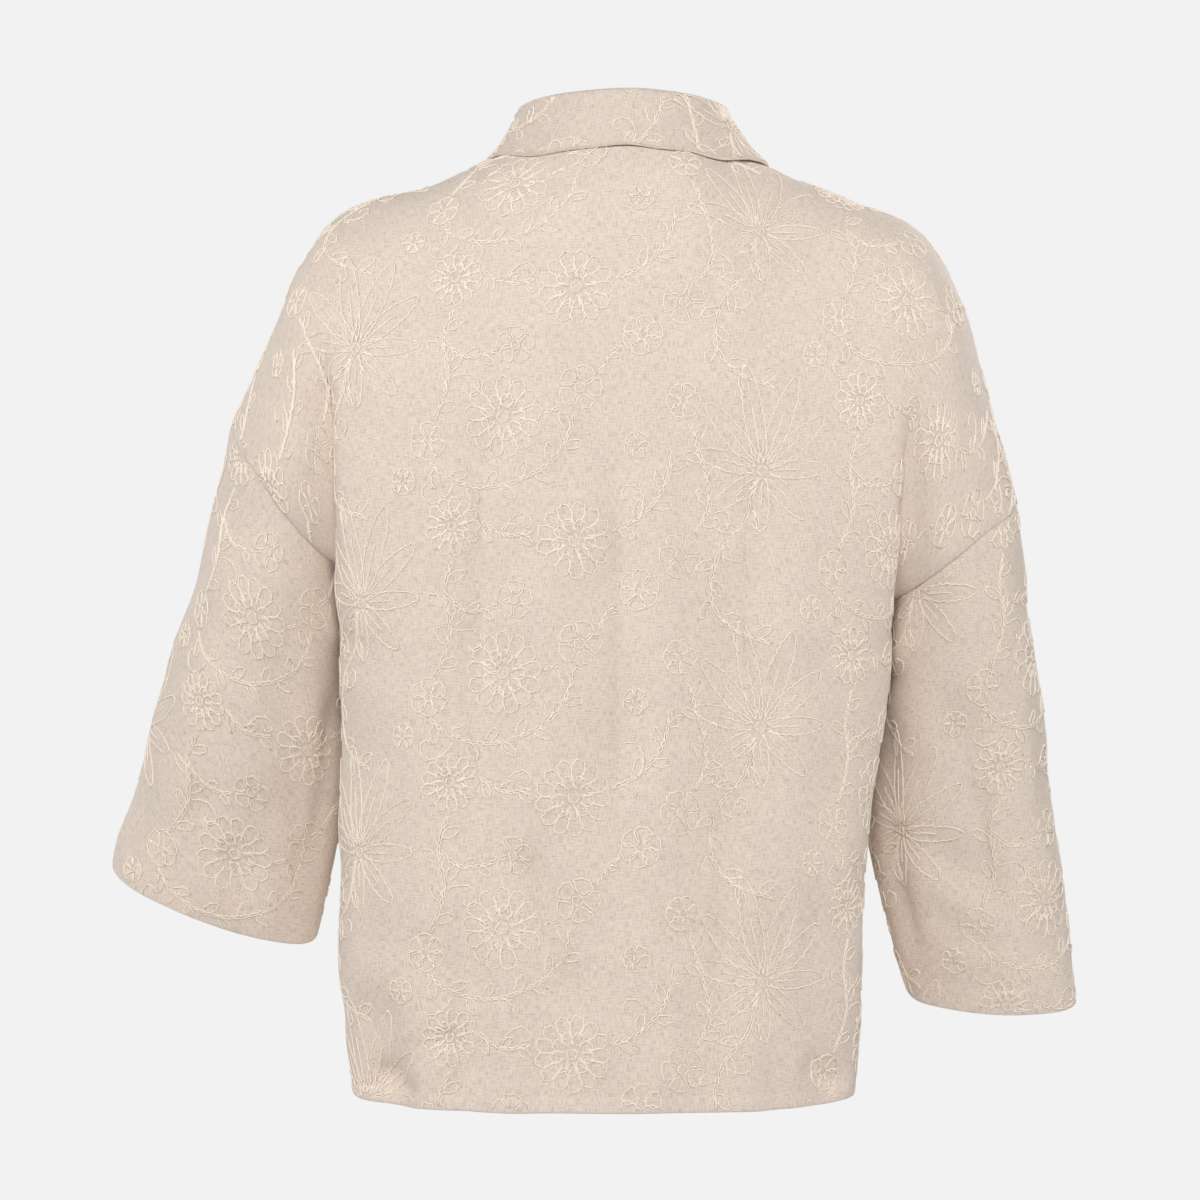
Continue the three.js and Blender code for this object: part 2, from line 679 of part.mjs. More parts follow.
// Buttons: dished discs on the right band, and one on the stand
function buttonGeometry() {
  const profile = [
    [0, 0],
    [button.radius - 0.8, 0],
    [button.radius, 0.8],
    [button.radius, button.rim - 0.8],
    [button.radius - 0.8, button.rim],
    [button.dishRadius, button.rim],
    [button.dishRadius - 1, button.dish],
    [0, button.dish],
  ];
  return new THREE.LatheGeometry(profile.map(([x, y]) => new THREE.Vector2(x, y)), 16);
}

function addButton(name, place, direction) {
  const mesh = addPiece(name, buttonGeometry(), shell);
  mesh.quaternion.setFromUnitVectors(vector(0, 1, 0), direction);
  mesh.position.copy(place).addScaledVector(direction, seamGap);
}

const standFront = foldPoint(180).lerp(neckPoint(180), 0.5);
const standSlope = foldPoint(180).sub(neckPoint(180)).normalize();
addButton('button_1', standFront, vector(0, -standSlope.z, standSlope.y).normalize());
const bandSurface = (height) => {
  const rows = halves.frontleft.map((row) => row[0]);
  const upper = rows.findIndex((point) => point.z > height);
  const share = (height - rows[upper - 1].z) / (rows[upper].z - rows[upper - 1].z);
  const slope = rows[upper].clone().sub(rows[upper - 1]).normalize();
  return {
    place: rows[upper - 1].clone().lerp(rows[upper], share),
    direction: vector(0, -slope.z, slope.y).normalize(),
  };
};
buttonHeights.forEach((height, index) => {
  const { place, direction } = bandSurface(height);
  place.addScaledVector(direction, clothWall + seamGap);
  addButton(`button_${index + 2}`, place, direction);
});

export default jacket;
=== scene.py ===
# %% [markdown]
# # A shirt jacket of embroidered linen
# The jacket is a set of flat linen pieces sewn round a body: a back, two fronts, two sleeves,
# a collar, two front bands and six buttons. Cream cord is stitched all over the cloth.
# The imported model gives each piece's place and size. This lesson gives each piece its cloth.

# %% The frame that everything is built around
import math

import bpy
import numpy as np
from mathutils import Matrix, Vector
from mathutils.bvhtree import BVHTree
from mathutils.kdtree import KDTree


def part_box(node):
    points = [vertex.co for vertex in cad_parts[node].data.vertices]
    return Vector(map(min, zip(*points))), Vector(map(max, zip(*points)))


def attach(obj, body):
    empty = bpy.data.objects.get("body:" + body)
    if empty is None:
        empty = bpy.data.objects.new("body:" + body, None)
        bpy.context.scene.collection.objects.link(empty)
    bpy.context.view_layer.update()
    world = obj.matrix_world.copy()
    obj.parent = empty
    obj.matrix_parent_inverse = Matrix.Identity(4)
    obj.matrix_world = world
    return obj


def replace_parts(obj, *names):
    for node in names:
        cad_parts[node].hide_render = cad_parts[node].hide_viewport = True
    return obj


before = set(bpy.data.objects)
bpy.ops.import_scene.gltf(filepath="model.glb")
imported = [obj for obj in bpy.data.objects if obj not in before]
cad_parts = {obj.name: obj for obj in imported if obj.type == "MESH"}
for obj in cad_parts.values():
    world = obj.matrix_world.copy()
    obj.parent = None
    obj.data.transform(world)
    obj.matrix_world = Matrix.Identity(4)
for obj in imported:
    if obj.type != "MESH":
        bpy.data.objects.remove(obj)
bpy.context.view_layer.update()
MM = 0.001
BODY = "root"
print("nodes in the frame:", len(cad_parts))

# %% [markdown]
# ## Camera, floor and light
# The photograph was taken straight from behind with a long lens. A studio softbox is a large area
# light. One above the camera and one level with it light the whole back, and weaker ones at the two
# sides graze it, so that the folds show. The world is pale for the camera, but dim as a light, or it
# would fill them.

# %% Camera
camera_place = (10.8, 2500, -324)
view_width = 864
sensor_width = 36
bpy.ops.object.camera_add(
    location=[value * MM for value in camera_place],
    rotation=(math.radians(90), 0, math.radians(180)),
)
camera = bpy.context.object
camera.data.sensor_width = sensor_width
camera.data.lens = sensor_width * camera_place[1] / view_width
bpy.context.scene.camera = camera
bpy.context.scene.view_settings.view_transform = "Standard"

# %% Floor
floor_height = -1.6
bpy.ops.mesh.primitive_plane_add(size=3.4, location=(0, 0.4, floor_height))
floor = bpy.context.object
floor.name = "floor"

# %% Lights
studio_lights = [
    # name, place, size, power
    ("key", (0, 2.5, 1.75), 1.0, 41.5),
    ("low_fill", (0, 2.9, 0.1), 1.6, 22.5),
    ("left_side", (2.4, 0.9, 0.35), 1.2, 24),
    ("right_side", (-2.4, 0.8, 0.2), 1.4, 15),
    ("right_fill", (-1.6, 2.2, 1.2), 1.4, 8),
    ("front_key", (-1.3, -2.3, 0.9), 1.4, 50),
    ("front_fill", (1.9, -1.9, -0.1), 1.6, 22),
]
light_target = Vector((0, 0, -0.3))
for name, place, size, power in studio_lights:
    turn = (light_target - Vector(place)).to_track_quat("-Z", "Y").to_euler()
    bpy.ops.object.light_add(type="AREA", location=place, rotation=turn)
    light = bpy.context.object
    light.name = name
    light.data.shape = "DISK"
    light.data.size = size
    light.data.energy = power

# %% World
backdrop_shade = 0.887
world_light = 0.12
world = bpy.data.worlds.new("pale studio")
bpy.context.scene.world = world
world.use_nodes = True
tree = world.node_tree
sky = tree.nodes["Background"]
sky.inputs["Color"].default_value = (backdrop_shade, backdrop_shade, backdrop_shade, 1)
seen = tree.nodes.new("ShaderNodeLightPath")
strength = tree.nodes.new("ShaderNodeMapRange")
strength.inputs["To Min"].default_value = world_light
tree.links.new(seen.outputs["Is Camera Ray"], strength.inputs["Value"])
tree.links.new(strength.outputs["Result"], sky.inputs["Strength"])

# %% [markdown]
# ## Linen, cord and shell
# Linen yarns are uneven: short thick slubs run along some of them, in both directions. An image
# could hold them, but noise stretched along the cloth's own pattern coordinates follows each
# piece's grain. The weave is one node group, so that single and doubled cloth share it. The
# collar's linen is painted a little darker than the body's: painted shade.


# %% Helpers for materials
def linear(red, green, blue):
    shares = [value / 255 for value in (red, green, blue)]
    return [s / 12.92 if s <= 0.04045 else ((s + 0.055) / 1.055) ** 2.4 for s in shares] + [1]


class Sketch:
    """A node tree with short calls for adding nodes and joining them."""

    def __init__(self, tree):
        self.tree = tree

    def fill(self, node, inputs):
        for name, value in inputs.items():
            if isinstance(value, bpy.types.NodeSocket):
                self.tree.links.new(value, node.inputs[name])
            else:
                node.inputs[name].default_value = value

    def add(self, kind, inputs=None, **settings):
        node = self.tree.nodes.new("ShaderNode" + kind)
        for name, value in settings.items():
            setattr(node, name, value)
        self.fill(node, inputs or {})
        return node

    def math(self, operation, first, second=0.0):
        return self.add("Math", {0: first, 1: second}, operation=operation).outputs[0]

    def stretched(self, vector, factors):
        return self.add("VectorMath", {0: vector, 1: factors}, operation="MULTIPLY").outputs[0]

    def noise(self, place, scale, detail, distortion=0.0):
        inputs = {"Vector": place, "Scale": scale, "Detail": detail, "Distortion": distortion}
        return self.add("TexNoise", inputs).outputs["Fac"]

    def ranged(self, value, from_range=(0, 1), to_range=(0, 1)):
        names = ("From Min", "From Max", "To Min", "To Max")
        limits = dict(zip(names, (*from_range, *to_range)))
        return self.add("MapRange", {"Value": value, **limits}).outputs["Result"]

    def mixed(self, factor, first, second, blend="MIX"):
        inputs = {"Factor": factor, "A": first, "B": second}
        return self.add("Mix", inputs, data_type="RGBA", blend_type=blend).outputs["Result"]

    def ramp(self, value, first, last, *between):
        """Colours along a value. Each stop is a place and a colour."""
        node = self.add("ValToRGB", {"Fac": value})
        stops = node.color_ramp.elements
        for stop, (place, colour) in zip(stops, (first, last)):
            stop.position = place
            stop.color = colour
        for place, colour in between:
            stops.new(place).color = colour
        return node.outputs["Color"]

    def dress(self, shader, colour, height, distance, strength):
        """Gives a shader its colour and its small relief."""
        relief = self.add("Bump", {"Height": height, "Distance": distance, "Strength": strength})
        self.fill(shader, {"Base Color": colour, "Normal": relief.outputs["Normal"]})


def new_group(name, number, outputs):
    """A node group that takes a Pattern vector and one number, and puts out numbers."""
    tree = bpy.data.node_groups.new(name, "ShaderNodeTree")
    sockets = [("Pattern", "INPUT", "Vector"), (number, "INPUT", "Float")]
    sockets += [(label, "OUTPUT", "Float") for label in outputs]
    for label, way, kind in sockets:
        tree.interface.new_socket(label, in_out=way, socket_type="NodeSocket" + kind)
    entry = tree.nodes.new("NodeGroupInput")
    return Sketch(tree), entry.outputs, tree.nodes.new("NodeGroupOutput")


def new_material(name, inputs):
    material = bpy.data.materials.new(name)
    material.use_nodes = True
    sketch = Sketch(material.node_tree)
    shader = material.node_tree.nodes["Principled BSDF"]
    sketch.fill(shader, inputs)
    return material, sketch, shader


# %% The weave as a node group
yarns_a_metre = 1500
basket_height = 0.35
slubs = {"width": 1450, "stretch": 0.12, "detail": 3.0}
cool_yarns = {"width": 1050, "stretch": 0.09, "detail": 2.0}


def drawn_out(sketch, pattern, width, stretch, detail):
    """Noise drawn out along each of the two ways of the yarns."""
    return [
        sketch.noise(sketch.stretched(pattern, [width * f for f in factors]), 1.0, detail)
        for factors in ((1, stretch, 1), (stretch, 1, 1))
    ]


def build_weave():
    sketch, entry, leave = new_group("linen weave", "Slub", ("Shade", "Cool", "Height"))
    both = sketch.math("ADD", *drawn_out(sketch, entry["Pattern"], **slubs))
    strong = sketch.math("MULTIPLY", sketch.math("SUBTRACT", both, 1.0), entry["Slub"])
    split = sketch.add("SeparateXYZ", {0: entry["Pattern"]}).outputs
    turns = [sketch.math("MULTIPLY", split[axis], math.pi * yarns_a_metre) for axis in ("X", "Y")]
    basket = sketch.math("MULTIPLY", *[sketch.math("SINE", turn) for turn in turns])
    sketch.fill(leave, {
        "Shade": sketch.math("ADD", strong, 0.5),
        "Cool": sketch.math("MAXIMUM", *drawn_out(sketch, entry["Pattern"], **cool_yarns)),
        "Height": sketch.math("ADD", sketch.math("MULTIPLY", basket, basket_height), strong),
    })
    return sketch.tree


weave = build_weave()

# %% Linen
linen_dark = (0.2, linear(205, 188, 174))
linen_plain = (0.44, linear(226, 210, 196))
linen_light = (0.8, linear(235, 220, 206))
linen_cool = linear(205, 193, 184)
cool_range = (0.62, 0.76)
mottle_range = np.array((0.93, 1.05))


def build_linen(name, slub, mottle_size, shade):
    inputs = {"Roughness": 0.88, "Sheen Weight": 0.22, "Sheen Roughness": 0.5, "Specular IOR Level": 0.25}
    material, sketch, shader = new_material(name, inputs)
    place = sketch.add("UVMap").outputs["UV"]
    cloth = sketch.add("Group", {"Pattern": place, "Slub": slub}, node_tree=weave).outputs
    heather = sketch.ramp(cloth["Shade"], linen_dark, linen_light, linen_plain)
    tinted = sketch.mixed(sketch.ranged(cloth["Cool"], cool_range), heather, linen_cool)
    # The colour's level is scaled here; for the collar's linen it is lowered as painted shade.
    mottle = sketch.ranged(sketch.noise(place, mottle_size, 4.0), to_range=mottle_range * shade)
    colour = sketch.mixed(1.0, tinted, mottle, "MULTIPLY")
    sketch.dress(shader, colour, cloth["Height"], 0.0003, 0.55)
    return material


linen = build_linen("heathered linen", 1.5, 22, 1.01)
# The collar's linen is painted darker than the body's, 0.95 against 1.01: painted shade.
collar_linen_painted_shade = build_linen("doubled linen", 1.4, 30, 0.95)

# %% [markdown]
# Cord and sewing thread are both twisted from plies, which show as slanting stripes: a small bump,
# and painted shade in the grooves between plies. One node group draws the twist, and the cord and
# the thread give it their own pitch. Both are painted darker at their feet, where they sink into
# the cloth: a painted contact shadow.


# %% Cord and thread
def build_twist():
    sketch, entry, leave = new_group("twisted plies", "Pitch", ("Ply",))
    split = sketch.add("SeparateXYZ", {0: entry["Pattern"]}).outputs
    slant = sketch.math("ADD", sketch.math("DIVIDE", split["X"], entry["Pitch"]), split["Y"])
    wave = sketch.math("SINE", sketch.math("MULTIPLY", slant, 2 * math.pi))
    half = sketch.math("MULTIPLY", wave, 0.5)
    sketch.fill(leave, {"Ply": sketch.math("ADD", half, 0.5)})
    return sketch.tree


twist = build_twist()
crown_share = 1 / 3
# Over this range from the crown the cord is painted darker towards its feet: a painted contact shadow.
foot_shadow_range = (0.17, 0.33)


def build_thread(name, ply_groove_shade, crown, foot, pitch, sheen):
    material, sketch, shader = new_material(name, {"Roughness": 0.72, "Sheen Weight": sheen})
    place = sketch.add("UVMap").outputs["UV"]
    ply = sketch.add("Group", {"Pattern": place, "Pitch": pitch}, node_tree=twist).outputs["Ply"]
    # The groove colour is darker than the crown colour: painted shade in the grooves between plies.
    colour = sketch.mixed(ply, linear(*ply_groove_shade), linear(*crown))
    around = sketch.add("SeparateXYZ", {0: place}).outputs["Y"]
    from_crown = sketch.math("ABSOLUTE", sketch.math("SUBTRACT", around, crown_share))
    # Painted contact shadow: the colour turns to the foot colour towards the feet.
    colour = sketch.mixed(sketch.ranged(from_crown, foot_shadow_range), colour, linear(*foot))
    sketch.dress(shader, colour, ply, 0.0002, 0.5)
    return material


# The colours are the ply grooves' painted shade, the crown, and the feet painted darker as a contact shadow.
cord_thread = build_thread(
    "cream cord", (246, 230, 213), (255, 244, 230), (180, 154, 130), 0.0022, 0.2
)
sewing_thread = build_thread(
    "sewing thread", (222, 206, 190), (242, 228, 213), (190, 172, 154), 0.001, 0.1
)


# %% Shell buttons and the floor's paper
def build_shell():
    material, sketch, shader = new_material("shell", {"Roughness": 0.28, "Coat Weight": 0.4})
    place = sketch.add("TexCoord").outputs["Object"]
    layers = sketch.noise(sketch.stretched(place, (260, 260, 90)), 1.0, 4.0, 1.2)
    colour = sketch.ramp(layers, (0.3, linear(214, 199, 178)), (0.7, linear(246, 238, 224)))
    gloss = sketch.ranged(layers, to_range=(0.2, 0.4))
    sketch.fill(shader, {"Base Color": colour, "Roughness": gloss})
    return material


shell = build_shell()
paper, _, _ = new_material("pale paper", {"Roughness": 0.9, "Base Color": linear(238, 238, 238)})
floor.data.materials.append(paper)

# %% [markdown]
# ## The worn form
# A pattern cutter would pin the cloth on a stand and measure it. Here each piece's form comes from
# a few sections in millimetres: level sections of the torso, two shoulder ridges and the oval
# sections of the sleeves. A smooth curve through each table gives any place between its rows.


# %% Curves through tables
def mix(first, second, share):
    return first + (second - first) * share


def ease(share):
    share = np.clip(share, 0, 1)
    return share * share * (3 - 2 * share)


def along_table(table, place):
    """All columns of a table but its first, which is the key, at any places along the key."""
    keys = table[:, 0]
    row = np.clip(np.searchsorted(keys, place) - 1, 0, len(keys) - 2)
    slopes = np.gradient(table, axis=0)
    slopes = slopes / slopes[:, :1]
    span = (keys[row + 1] - keys[row])[..., None]
    t = np.clip((place - keys[row])[..., None] / span, 0, 1)
    start = (2 * t**3 - 3 * t**2 + 1) * table[row] + (t**3 - 2 * t**2 + t) * span * slopes[row]
    end = (3 * t**2 - 2 * t**3) * table[row + 1] + (t**3 - t**2) * span * slopes[row + 1]
    return (start + end)[..., 1:]


def hill(distance, reach):
    """A smooth rise of 1 that dies away past its reach."""
    return np.exp(-((distance / reach) ** 2))


def points_of(x, y, z):
    return np.stack(np.broadcast_arrays(x, y, z), axis=-1)


def unit(vectors):
    return vectors / np.linalg.norm(vectors, axis=-1, keepdims=True)


# %% Sizes of the torso
neck = {"centre": -5, "half_width": 76, "back": 66, "front": 62}
neck_drop = {"back": 3, "front": 66, "front_curve": 2.1}
hem_height = -673
hem_rise = 6
yoke_height = -360
TORSO_COLUMNS = {"left": 0, "right": 1, "back": 2, "front": 3}
torso_sections = np.array([
    # height, left, right, back, front
    (-673, 175, 158, 142, 150),
    (-640, 179, 160, 141, 149),
    (-570, 183, 163, 139, 147),
    (-480, 182, 169, 137, 145),
    (-420, 183, 178, 136, 144),
    (-350, 184, 185, 136, 143),
    (-290, 183, 191, 135, 142),
], float)
torso_roundness = 0.77
back_corner_lean = 0.25
shoulder_roundness = {"back": 0.87, "front": 1}
neck_share = 0.28
ridges = {
    # along, x, height
    "left": np.array([
        (0, 71, 0), (0.2, 132, -27), (0.36, 176, -40), (0.48, 206, -56), (0.6, 224, -84),
        (0.7, 235, -112), (0.81, 247, -141), (1, 266, -194),
    ], float),
    "right": np.array([
        (0, 81, 0), (0.17, 134, -27), (0.3, 176, -39), (0.4, 209, -55), (0.5, 231, -83),
        (0.59, 245, -111), (0.75, 261, -164), (0.83, 268, -197), (1, 281, -255),
    ], float),
}

# %% Sizes of the sleeves
sleeve_steps = 8
sleeve_sections = {
    # along, outer x, outer height, inner x, inner height, half depth, drop, turn, y of the middle
    "left": np.array([
        (0, 266, -194, 183.2, -300, 88, 10, 12, 0),
        (1, 276, -225, 188, -318, 86, 10, 8, -4),
        (2, 287, -262, 189, -340, 84, 9, 5, -8),
        (3, 298, -300, 190, -366, 80, 8, 2, -10),
        (4, 312, -341, 191, -400, 72, 9, 0, -12),
        (5, 325, -384, 193, -436, 64, 11, 0, -15),
        (6, 337, -428, 197, -474, 55, 13, 0, -19),
        (7, 352, -473, 206, -520, 46, 16, 0, -24),
        (8, 364, -513, 217, -565, 38, 18, 0, -29),
    ], float),
    "right": np.array([
        (0, 281, -255, 187.6, -325, 92, 0, 10, 0),
        (1, 288, -290, 192, -342, 91, 2, 7, -4),
        (2, 295, -330, 190, -364, 88, 3, 4, -8),
        (3, 303, -370, 187, -392, 82, 4, 0, -10),
        (4, 310, -412, 184, -428, 75, 5, 0, -12),
        (5, 314, -456, 182, -464, 68, 6, 0, -14),
        (6, 320, -500, 186, -504, 62, 7, 0, -16),
        (7, 328, -555, 198, -555, 58, 9, 0, -19),
        (8, 334, -611, 213, -607, 55, 10, 0, -22),
    ], float),
}
sleeve_roundness = {"back": 0.7, "front": 0.95}
SIGNS = {"left": 1, "right": -1}
underarm_height = {side: sleeve_sections[side][0, 4] for side in SIGNS}


# %% Points of the torso and the sleeves
def neck_point(angle):
    turn = np.radians(angle)
    depth = np.cos(turn)
    x = neck["centre"] + neck["half_width"] * np.sin(turn)
    y = np.where(depth > 0, neck["back"], neck["front"]) * depth
    front_drop = neck_drop["front"] * np.maximum(-depth, 0) ** neck_drop["front_curve"]
    return points_of(x, y, -np.where(depth > 0, neck_drop["back"] * depth**2, front_drop))


def torso_point(side, face, height, across):
    turn = (1 - across) * math.pi / 2
    wide = np.cos(turn) ** torso_roundness
    deep = np.sin(turn) ** torso_roundness
    sizes = along_table(torso_sections, height)
    lean = 1 + back_corner_lean * deep if face == "back" else 1
    x = SIGNS[side] * sizes[..., TORSO_COLUMNS[side]] * wide * lean
    y = sizes[..., TORSO_COLUMNS[face]] * deep
    return points_of(x, y if face == "back" else -y, height)


def top_line(side, face, across):
    sign = SIGNS[side]
    angle = 90 * np.minimum(across / neck_share, 1)
    round_neck = neck_point(sign * (angle if face == "back" else 180 - angle))
    ridge = along_table(ridges[side], np.maximum(across - neck_share, 0) / (1 - neck_share))
    over_shoulder = points_of(sign * ridge[..., 0], 0, ridge[..., 1])
    return np.where((across < neck_share)[..., None], round_neck, over_shoulder)


def sleeve_point(side, along, turn):
    outer_x, outer_z, inner_x, inner_z, half, drop, shift, y = np.moveaxis(
        along_table(sleeve_sections[side], along), -1, 0
    )
    out = np.cos(np.radians(turn))
    deep = np.sin(np.radians(turn))
    power = np.where(deep > 0, sleeve_roundness["back"], sleeve_roundness["front"])
    deep = np.sign(deep) * abs(deep) ** power
    x = mix(outer_x, inner_x, (1 + out) / 2) + shift * deep
    z = mix(outer_z, inner_z, (1 + out) / 2) - drop * deep
    return points_of(SIGNS[side] * x, y + half * deep, z)


def upper_point(side, face, across, up):
    turn = up * math.pi / 2
    power = shoulder_roundness[face]
    cosine = np.clip(np.cos(turn), 0, 1)
    climb = points_of((1 - np.cos(math.pi * up)) / 2, 1 - cosine**power, np.sin(turn) ** power)
    one = np.ones_like(across)
    low = torso_point(side, face, mix(yoke_height, underarm_height[side], across**4), across)
    underarm = torso_point(side, face, underarm_height[side] * one, one)
    high = top_line(side, face, across)
    armhole_top = top_line(side, face, one)
    edge = sleeve_point(side, 0 * one, 180 * up if face == "back" else 360 - 180 * up)
    straight = mix(underarm, armhole_top, climb)
    return mix(low, high, climb) + across[..., None] ** 2 * (edge - straight)


def body_point(side, face, across, up):
    """across runs from the centre line to the side, up from the hem over the yoke line (1) to 2."""
    across, up = np.broadcast_arrays(across, up)
    yoke = mix(yoke_height, underarm_height[side], across**4)
    bottom = hem_height + hem_rise * across**3
    lower = torso_point(side, face, mix(bottom, yoke, np.minimum(up, 1)), across)
    upper = upper_point(side, face, across, np.clip(up - 1, 0, 1))
    return np.where((up <= 1)[..., None], lower, upper)


# %% [markdown]
# ## Folds
# Linen holds soft troughs and ridges. A cloth simulation would make them where it likes. Here they
# are listed one by one, each as one row: where it starts and ends on the cloth, how wide it is and how
# deep. A depth below zero is a ridge. The first rows are the large folds, which the solid has too.

# %% Fold tables of the body
FOLD_FADE = 0.35
FOLD_BEFORE = 0.3
fold_lean = 0.35
body_folds = {
    # x, height, to x, to height, width, depth
    "back": np.array([
        (209, -145, 205, -320, 11, 14),
        (-213, -190, -205, -350, 11, 13),
        (94, -190, 92, -470, 17, 4.4),
        (50, -260, 47, -520, 19, -3),
        (0, -200, -2, -470, 16, 4),
        (-91, -225, -66, -640, 23, 4.4),
        (64, -490, 26, -610, 12, 7),
        (166, -590, 158, -700, 17, 10),
        (-134, -520, -144, -700, 24, 7),
        (207, -150, 203, -330, 5, 4),
        (-208, -175, -200, -350, 5, 4.6),
        (160, -650, 112, -618, 9, 4),
        (172, -648, 138, -664, 10, 8),
        (-160, -662, -132, -640, 10, 6),
        (93, -200, 99, -490, 8, 2.6),
        (1, -215, 1, -480, 7, 3),
        (-33, -250, -33, -530, 11, -3.4),
        (-91, -225, -93, -400, 10, 4.4),
        (-66, -350, -66, -640, 10, 3.6),
        (-106, -530, -112, -700, 11, 4.8),
        (80, -540, 66, -700, 12, -5),
        (103, -540, 105, -700, 10, 4.6),
        (-40, -560, -36, -670, 11, -2.8),
        (136, -330, 130, -560, 13, -2.6),
        (72, -90, 120, -170, 12, -1.6),
        (-70, -100, -116, -190, 13, -1.6),
        (-128, -280, -122, -560, 12, -2.4),
    ], float),
    "front": np.array([
        (206, -150, 198, -330, 14, 15),
        (-212, -190, -198, -350, 14, 14),
        (96, -240, 112, -560, 22, 5),
        (-92, -260, -104, -600, 24, 5),
        (58, -430, 50, -700, 20, 4),
        (-146, -560, -152, -700, 18, 6),
        (60, -130, 104, -230, 14, -1.8),
        (-62, -140, -108, -250, 14, -1.8),
        (130, -330, 128, -520, 13, -2),
        (-60, -380, -52, -600, 13, 2.2),
        (148, -590, 140, -690, 12, 3),
    ], float),
}

# %% Fold tables of the sleeves
sleeve_step = 24
sleeve_folds = {
    # degrees round from the inner end by way of the back, along, to degrees, to along, width, depth
    "left": np.array([
        (80, 3.4, 48, 6.2, 13, 4),
        (118, 6.1, 70, 7.3, 10, 5),
        (250, 4.4, 300, 6.2, 13, 5),
        (230, 5.8, 290, 7.0, 12, 4),
        (136, 1.6, 122, 6.4, 9, -3.4),
        (96, 6.9, 60, 7.7, 6, 3.4),
        (112, 7.2, 72, 7.9, 5, -2.2),
        (160, 4.4, 150, 7.6, 9, 3),
        (26, 0.1, 30, 2.6, 16, -8),
        (26, 3.4, 34, 7.4, 13, 7.5),
        (58, 5.6, 40, 7.2, 5, 2.6),
        (66, 6.3, 96, 5.7, 5, 2),
        (318, 2.2, 300, 4.0, 9, 3),
    ], float),
    "right": np.array([
        (70, 2.6, 100, 5.6, 13, 4),
        (60, 5.8, 105, 6.4, 10, 4),
        (255, 4.2, 300, 6.0, 13, 5),
        (235, 5.6, 285, 6.8, 12, 4),
        (130, 3.0, 138, 5.6, 9, -3),
        (50, 6.6, 100, 7.2, 7, 3.2),
        (96, 4.8, 104, 6.6, 5, 2.2),
        (60, 7.1, 110, 7.5, 5, -2.2),
        (26, 0.1, 30, 2.4, 16, -9),
        (26, 3.2, 34, 7.4, 13, 7),
        (320, 1.8, 302, 3.6, 9, 3),
    ], float),
}


# %% How deep the cloth lies
def fold_depth(folds, x, y):
    depth = np.zeros_like(x)
    for start_x, start_y, end_x, end_y, width, most in folds:
        run_x = end_x - start_x
        run_y = end_y - start_y
        length = math.hypot(run_x, run_y)
        along = ((x - start_x) * run_x + (y - start_y) * run_y) / length**2
        across = ((x - start_x) * run_y - (y - start_y) * run_x) / length
        fade_in = ease(along / FOLD_FADE + FOLD_BEFORE)
        fade_out = ease((1 - along) / FOLD_FADE + FOLD_BEFORE)
        depth += most * fade_in * fade_out * hill(across, width)
    return depth


rumple_waves = 26
rumple_lengths = (26, 95)
rumple_height = 0.004
chance = np.random.default_rng(41)
wave_lengths = chance.uniform(*rumple_lengths, rumple_waves)
wave_turns = unit(chance.normal(size=(rumple_waves, 3)) * (1, 1, 0.45)) / wave_lengths[:, None]
wave_starts = chance.uniform(0, 2 * math.pi, rumple_waves)


def rumple(points):
    """Small soft unevenness, taken from the place in space so that it runs on over the seams."""
    waves = np.sin(2 * math.pi * points @ wave_turns.T + wave_starts)
    return (waves * wave_lengths * rumple_height).sum(axis=-1)


# %% [markdown]
# ## From a form to a sewn piece
# A panel starts as a flat grid. Its points move to the worn form, closer together at the edges,
# where the seam rolls inwards and the hem turns up. The grid is also laid flat again by easing its
# edges back to their real lengths, as when a garment is unpicked. The flat shape is the piece's
# cut, its UV map and the map on which the embroidery is drawn.

# %% Spacing of the points
cell = 5.2
seam_stops = (0, 1.3, 3.2)
seam_roll = 0.28
seam_reach = 1.1
seam_back = 0.12


def spaced(total, start, end):
    """Distances from 0 to total: start and end hold the closer ones at the two edges."""
    inner = total - start[-1] - end[-1]
    count = max(round(inner / cell), 1)
    middle = [start[-1] + inner * share / count for share in range(1, count)]
    return np.array([*start, *middle, *(total - value for value in reversed(end))])


def matching_rows(count, wanted):
    """Which of a grid's rows to keep so that it has as many as another."""
    return np.round(np.linspace(0, count - 1, wanted)).astype(int)


def walked(points, axis):
    """Distance walked along one axis of a grid, from its start."""
    steps = np.linalg.norm(np.diff(points, axis=axis), axis=-1)
    return np.insert(np.cumsum(steps, axis=axis), 0, 0, axis=axis)


def grid_normals(points):
    return unit(np.cross(np.gradient(points, axis=1), np.gradient(points, axis=0)))


def grid_corners(index):
    """The four corners of each cell of a grid of point numbers."""
    return index[:-1, :-1], index[:-1, 1:], index[1:, 1:], index[1:, :-1]


def even_rows(grid, places, stops, end):
    """For each column of a fine grid, its places at even distances from the first row."""
    walks = walked(grid, 0)
    totals = walks[-1] - end[0]
    middle = totals[len(totals) // 2]
    template = spaced(middle, stops, [value - end[0] for value in end])
    share = np.clip((template - stops[-1]) / (template[-1] - stops[-1]), 0, 1)
    distances = template[:, None] + share[:, None] * (totals - middle)
    return np.array([np.interp(distances[:, c], walks[:, c], places) for c in range(len(totals))]).T


# %% Laying a piece flat
flatten_rounds = 260
flatten_pull = 1.6


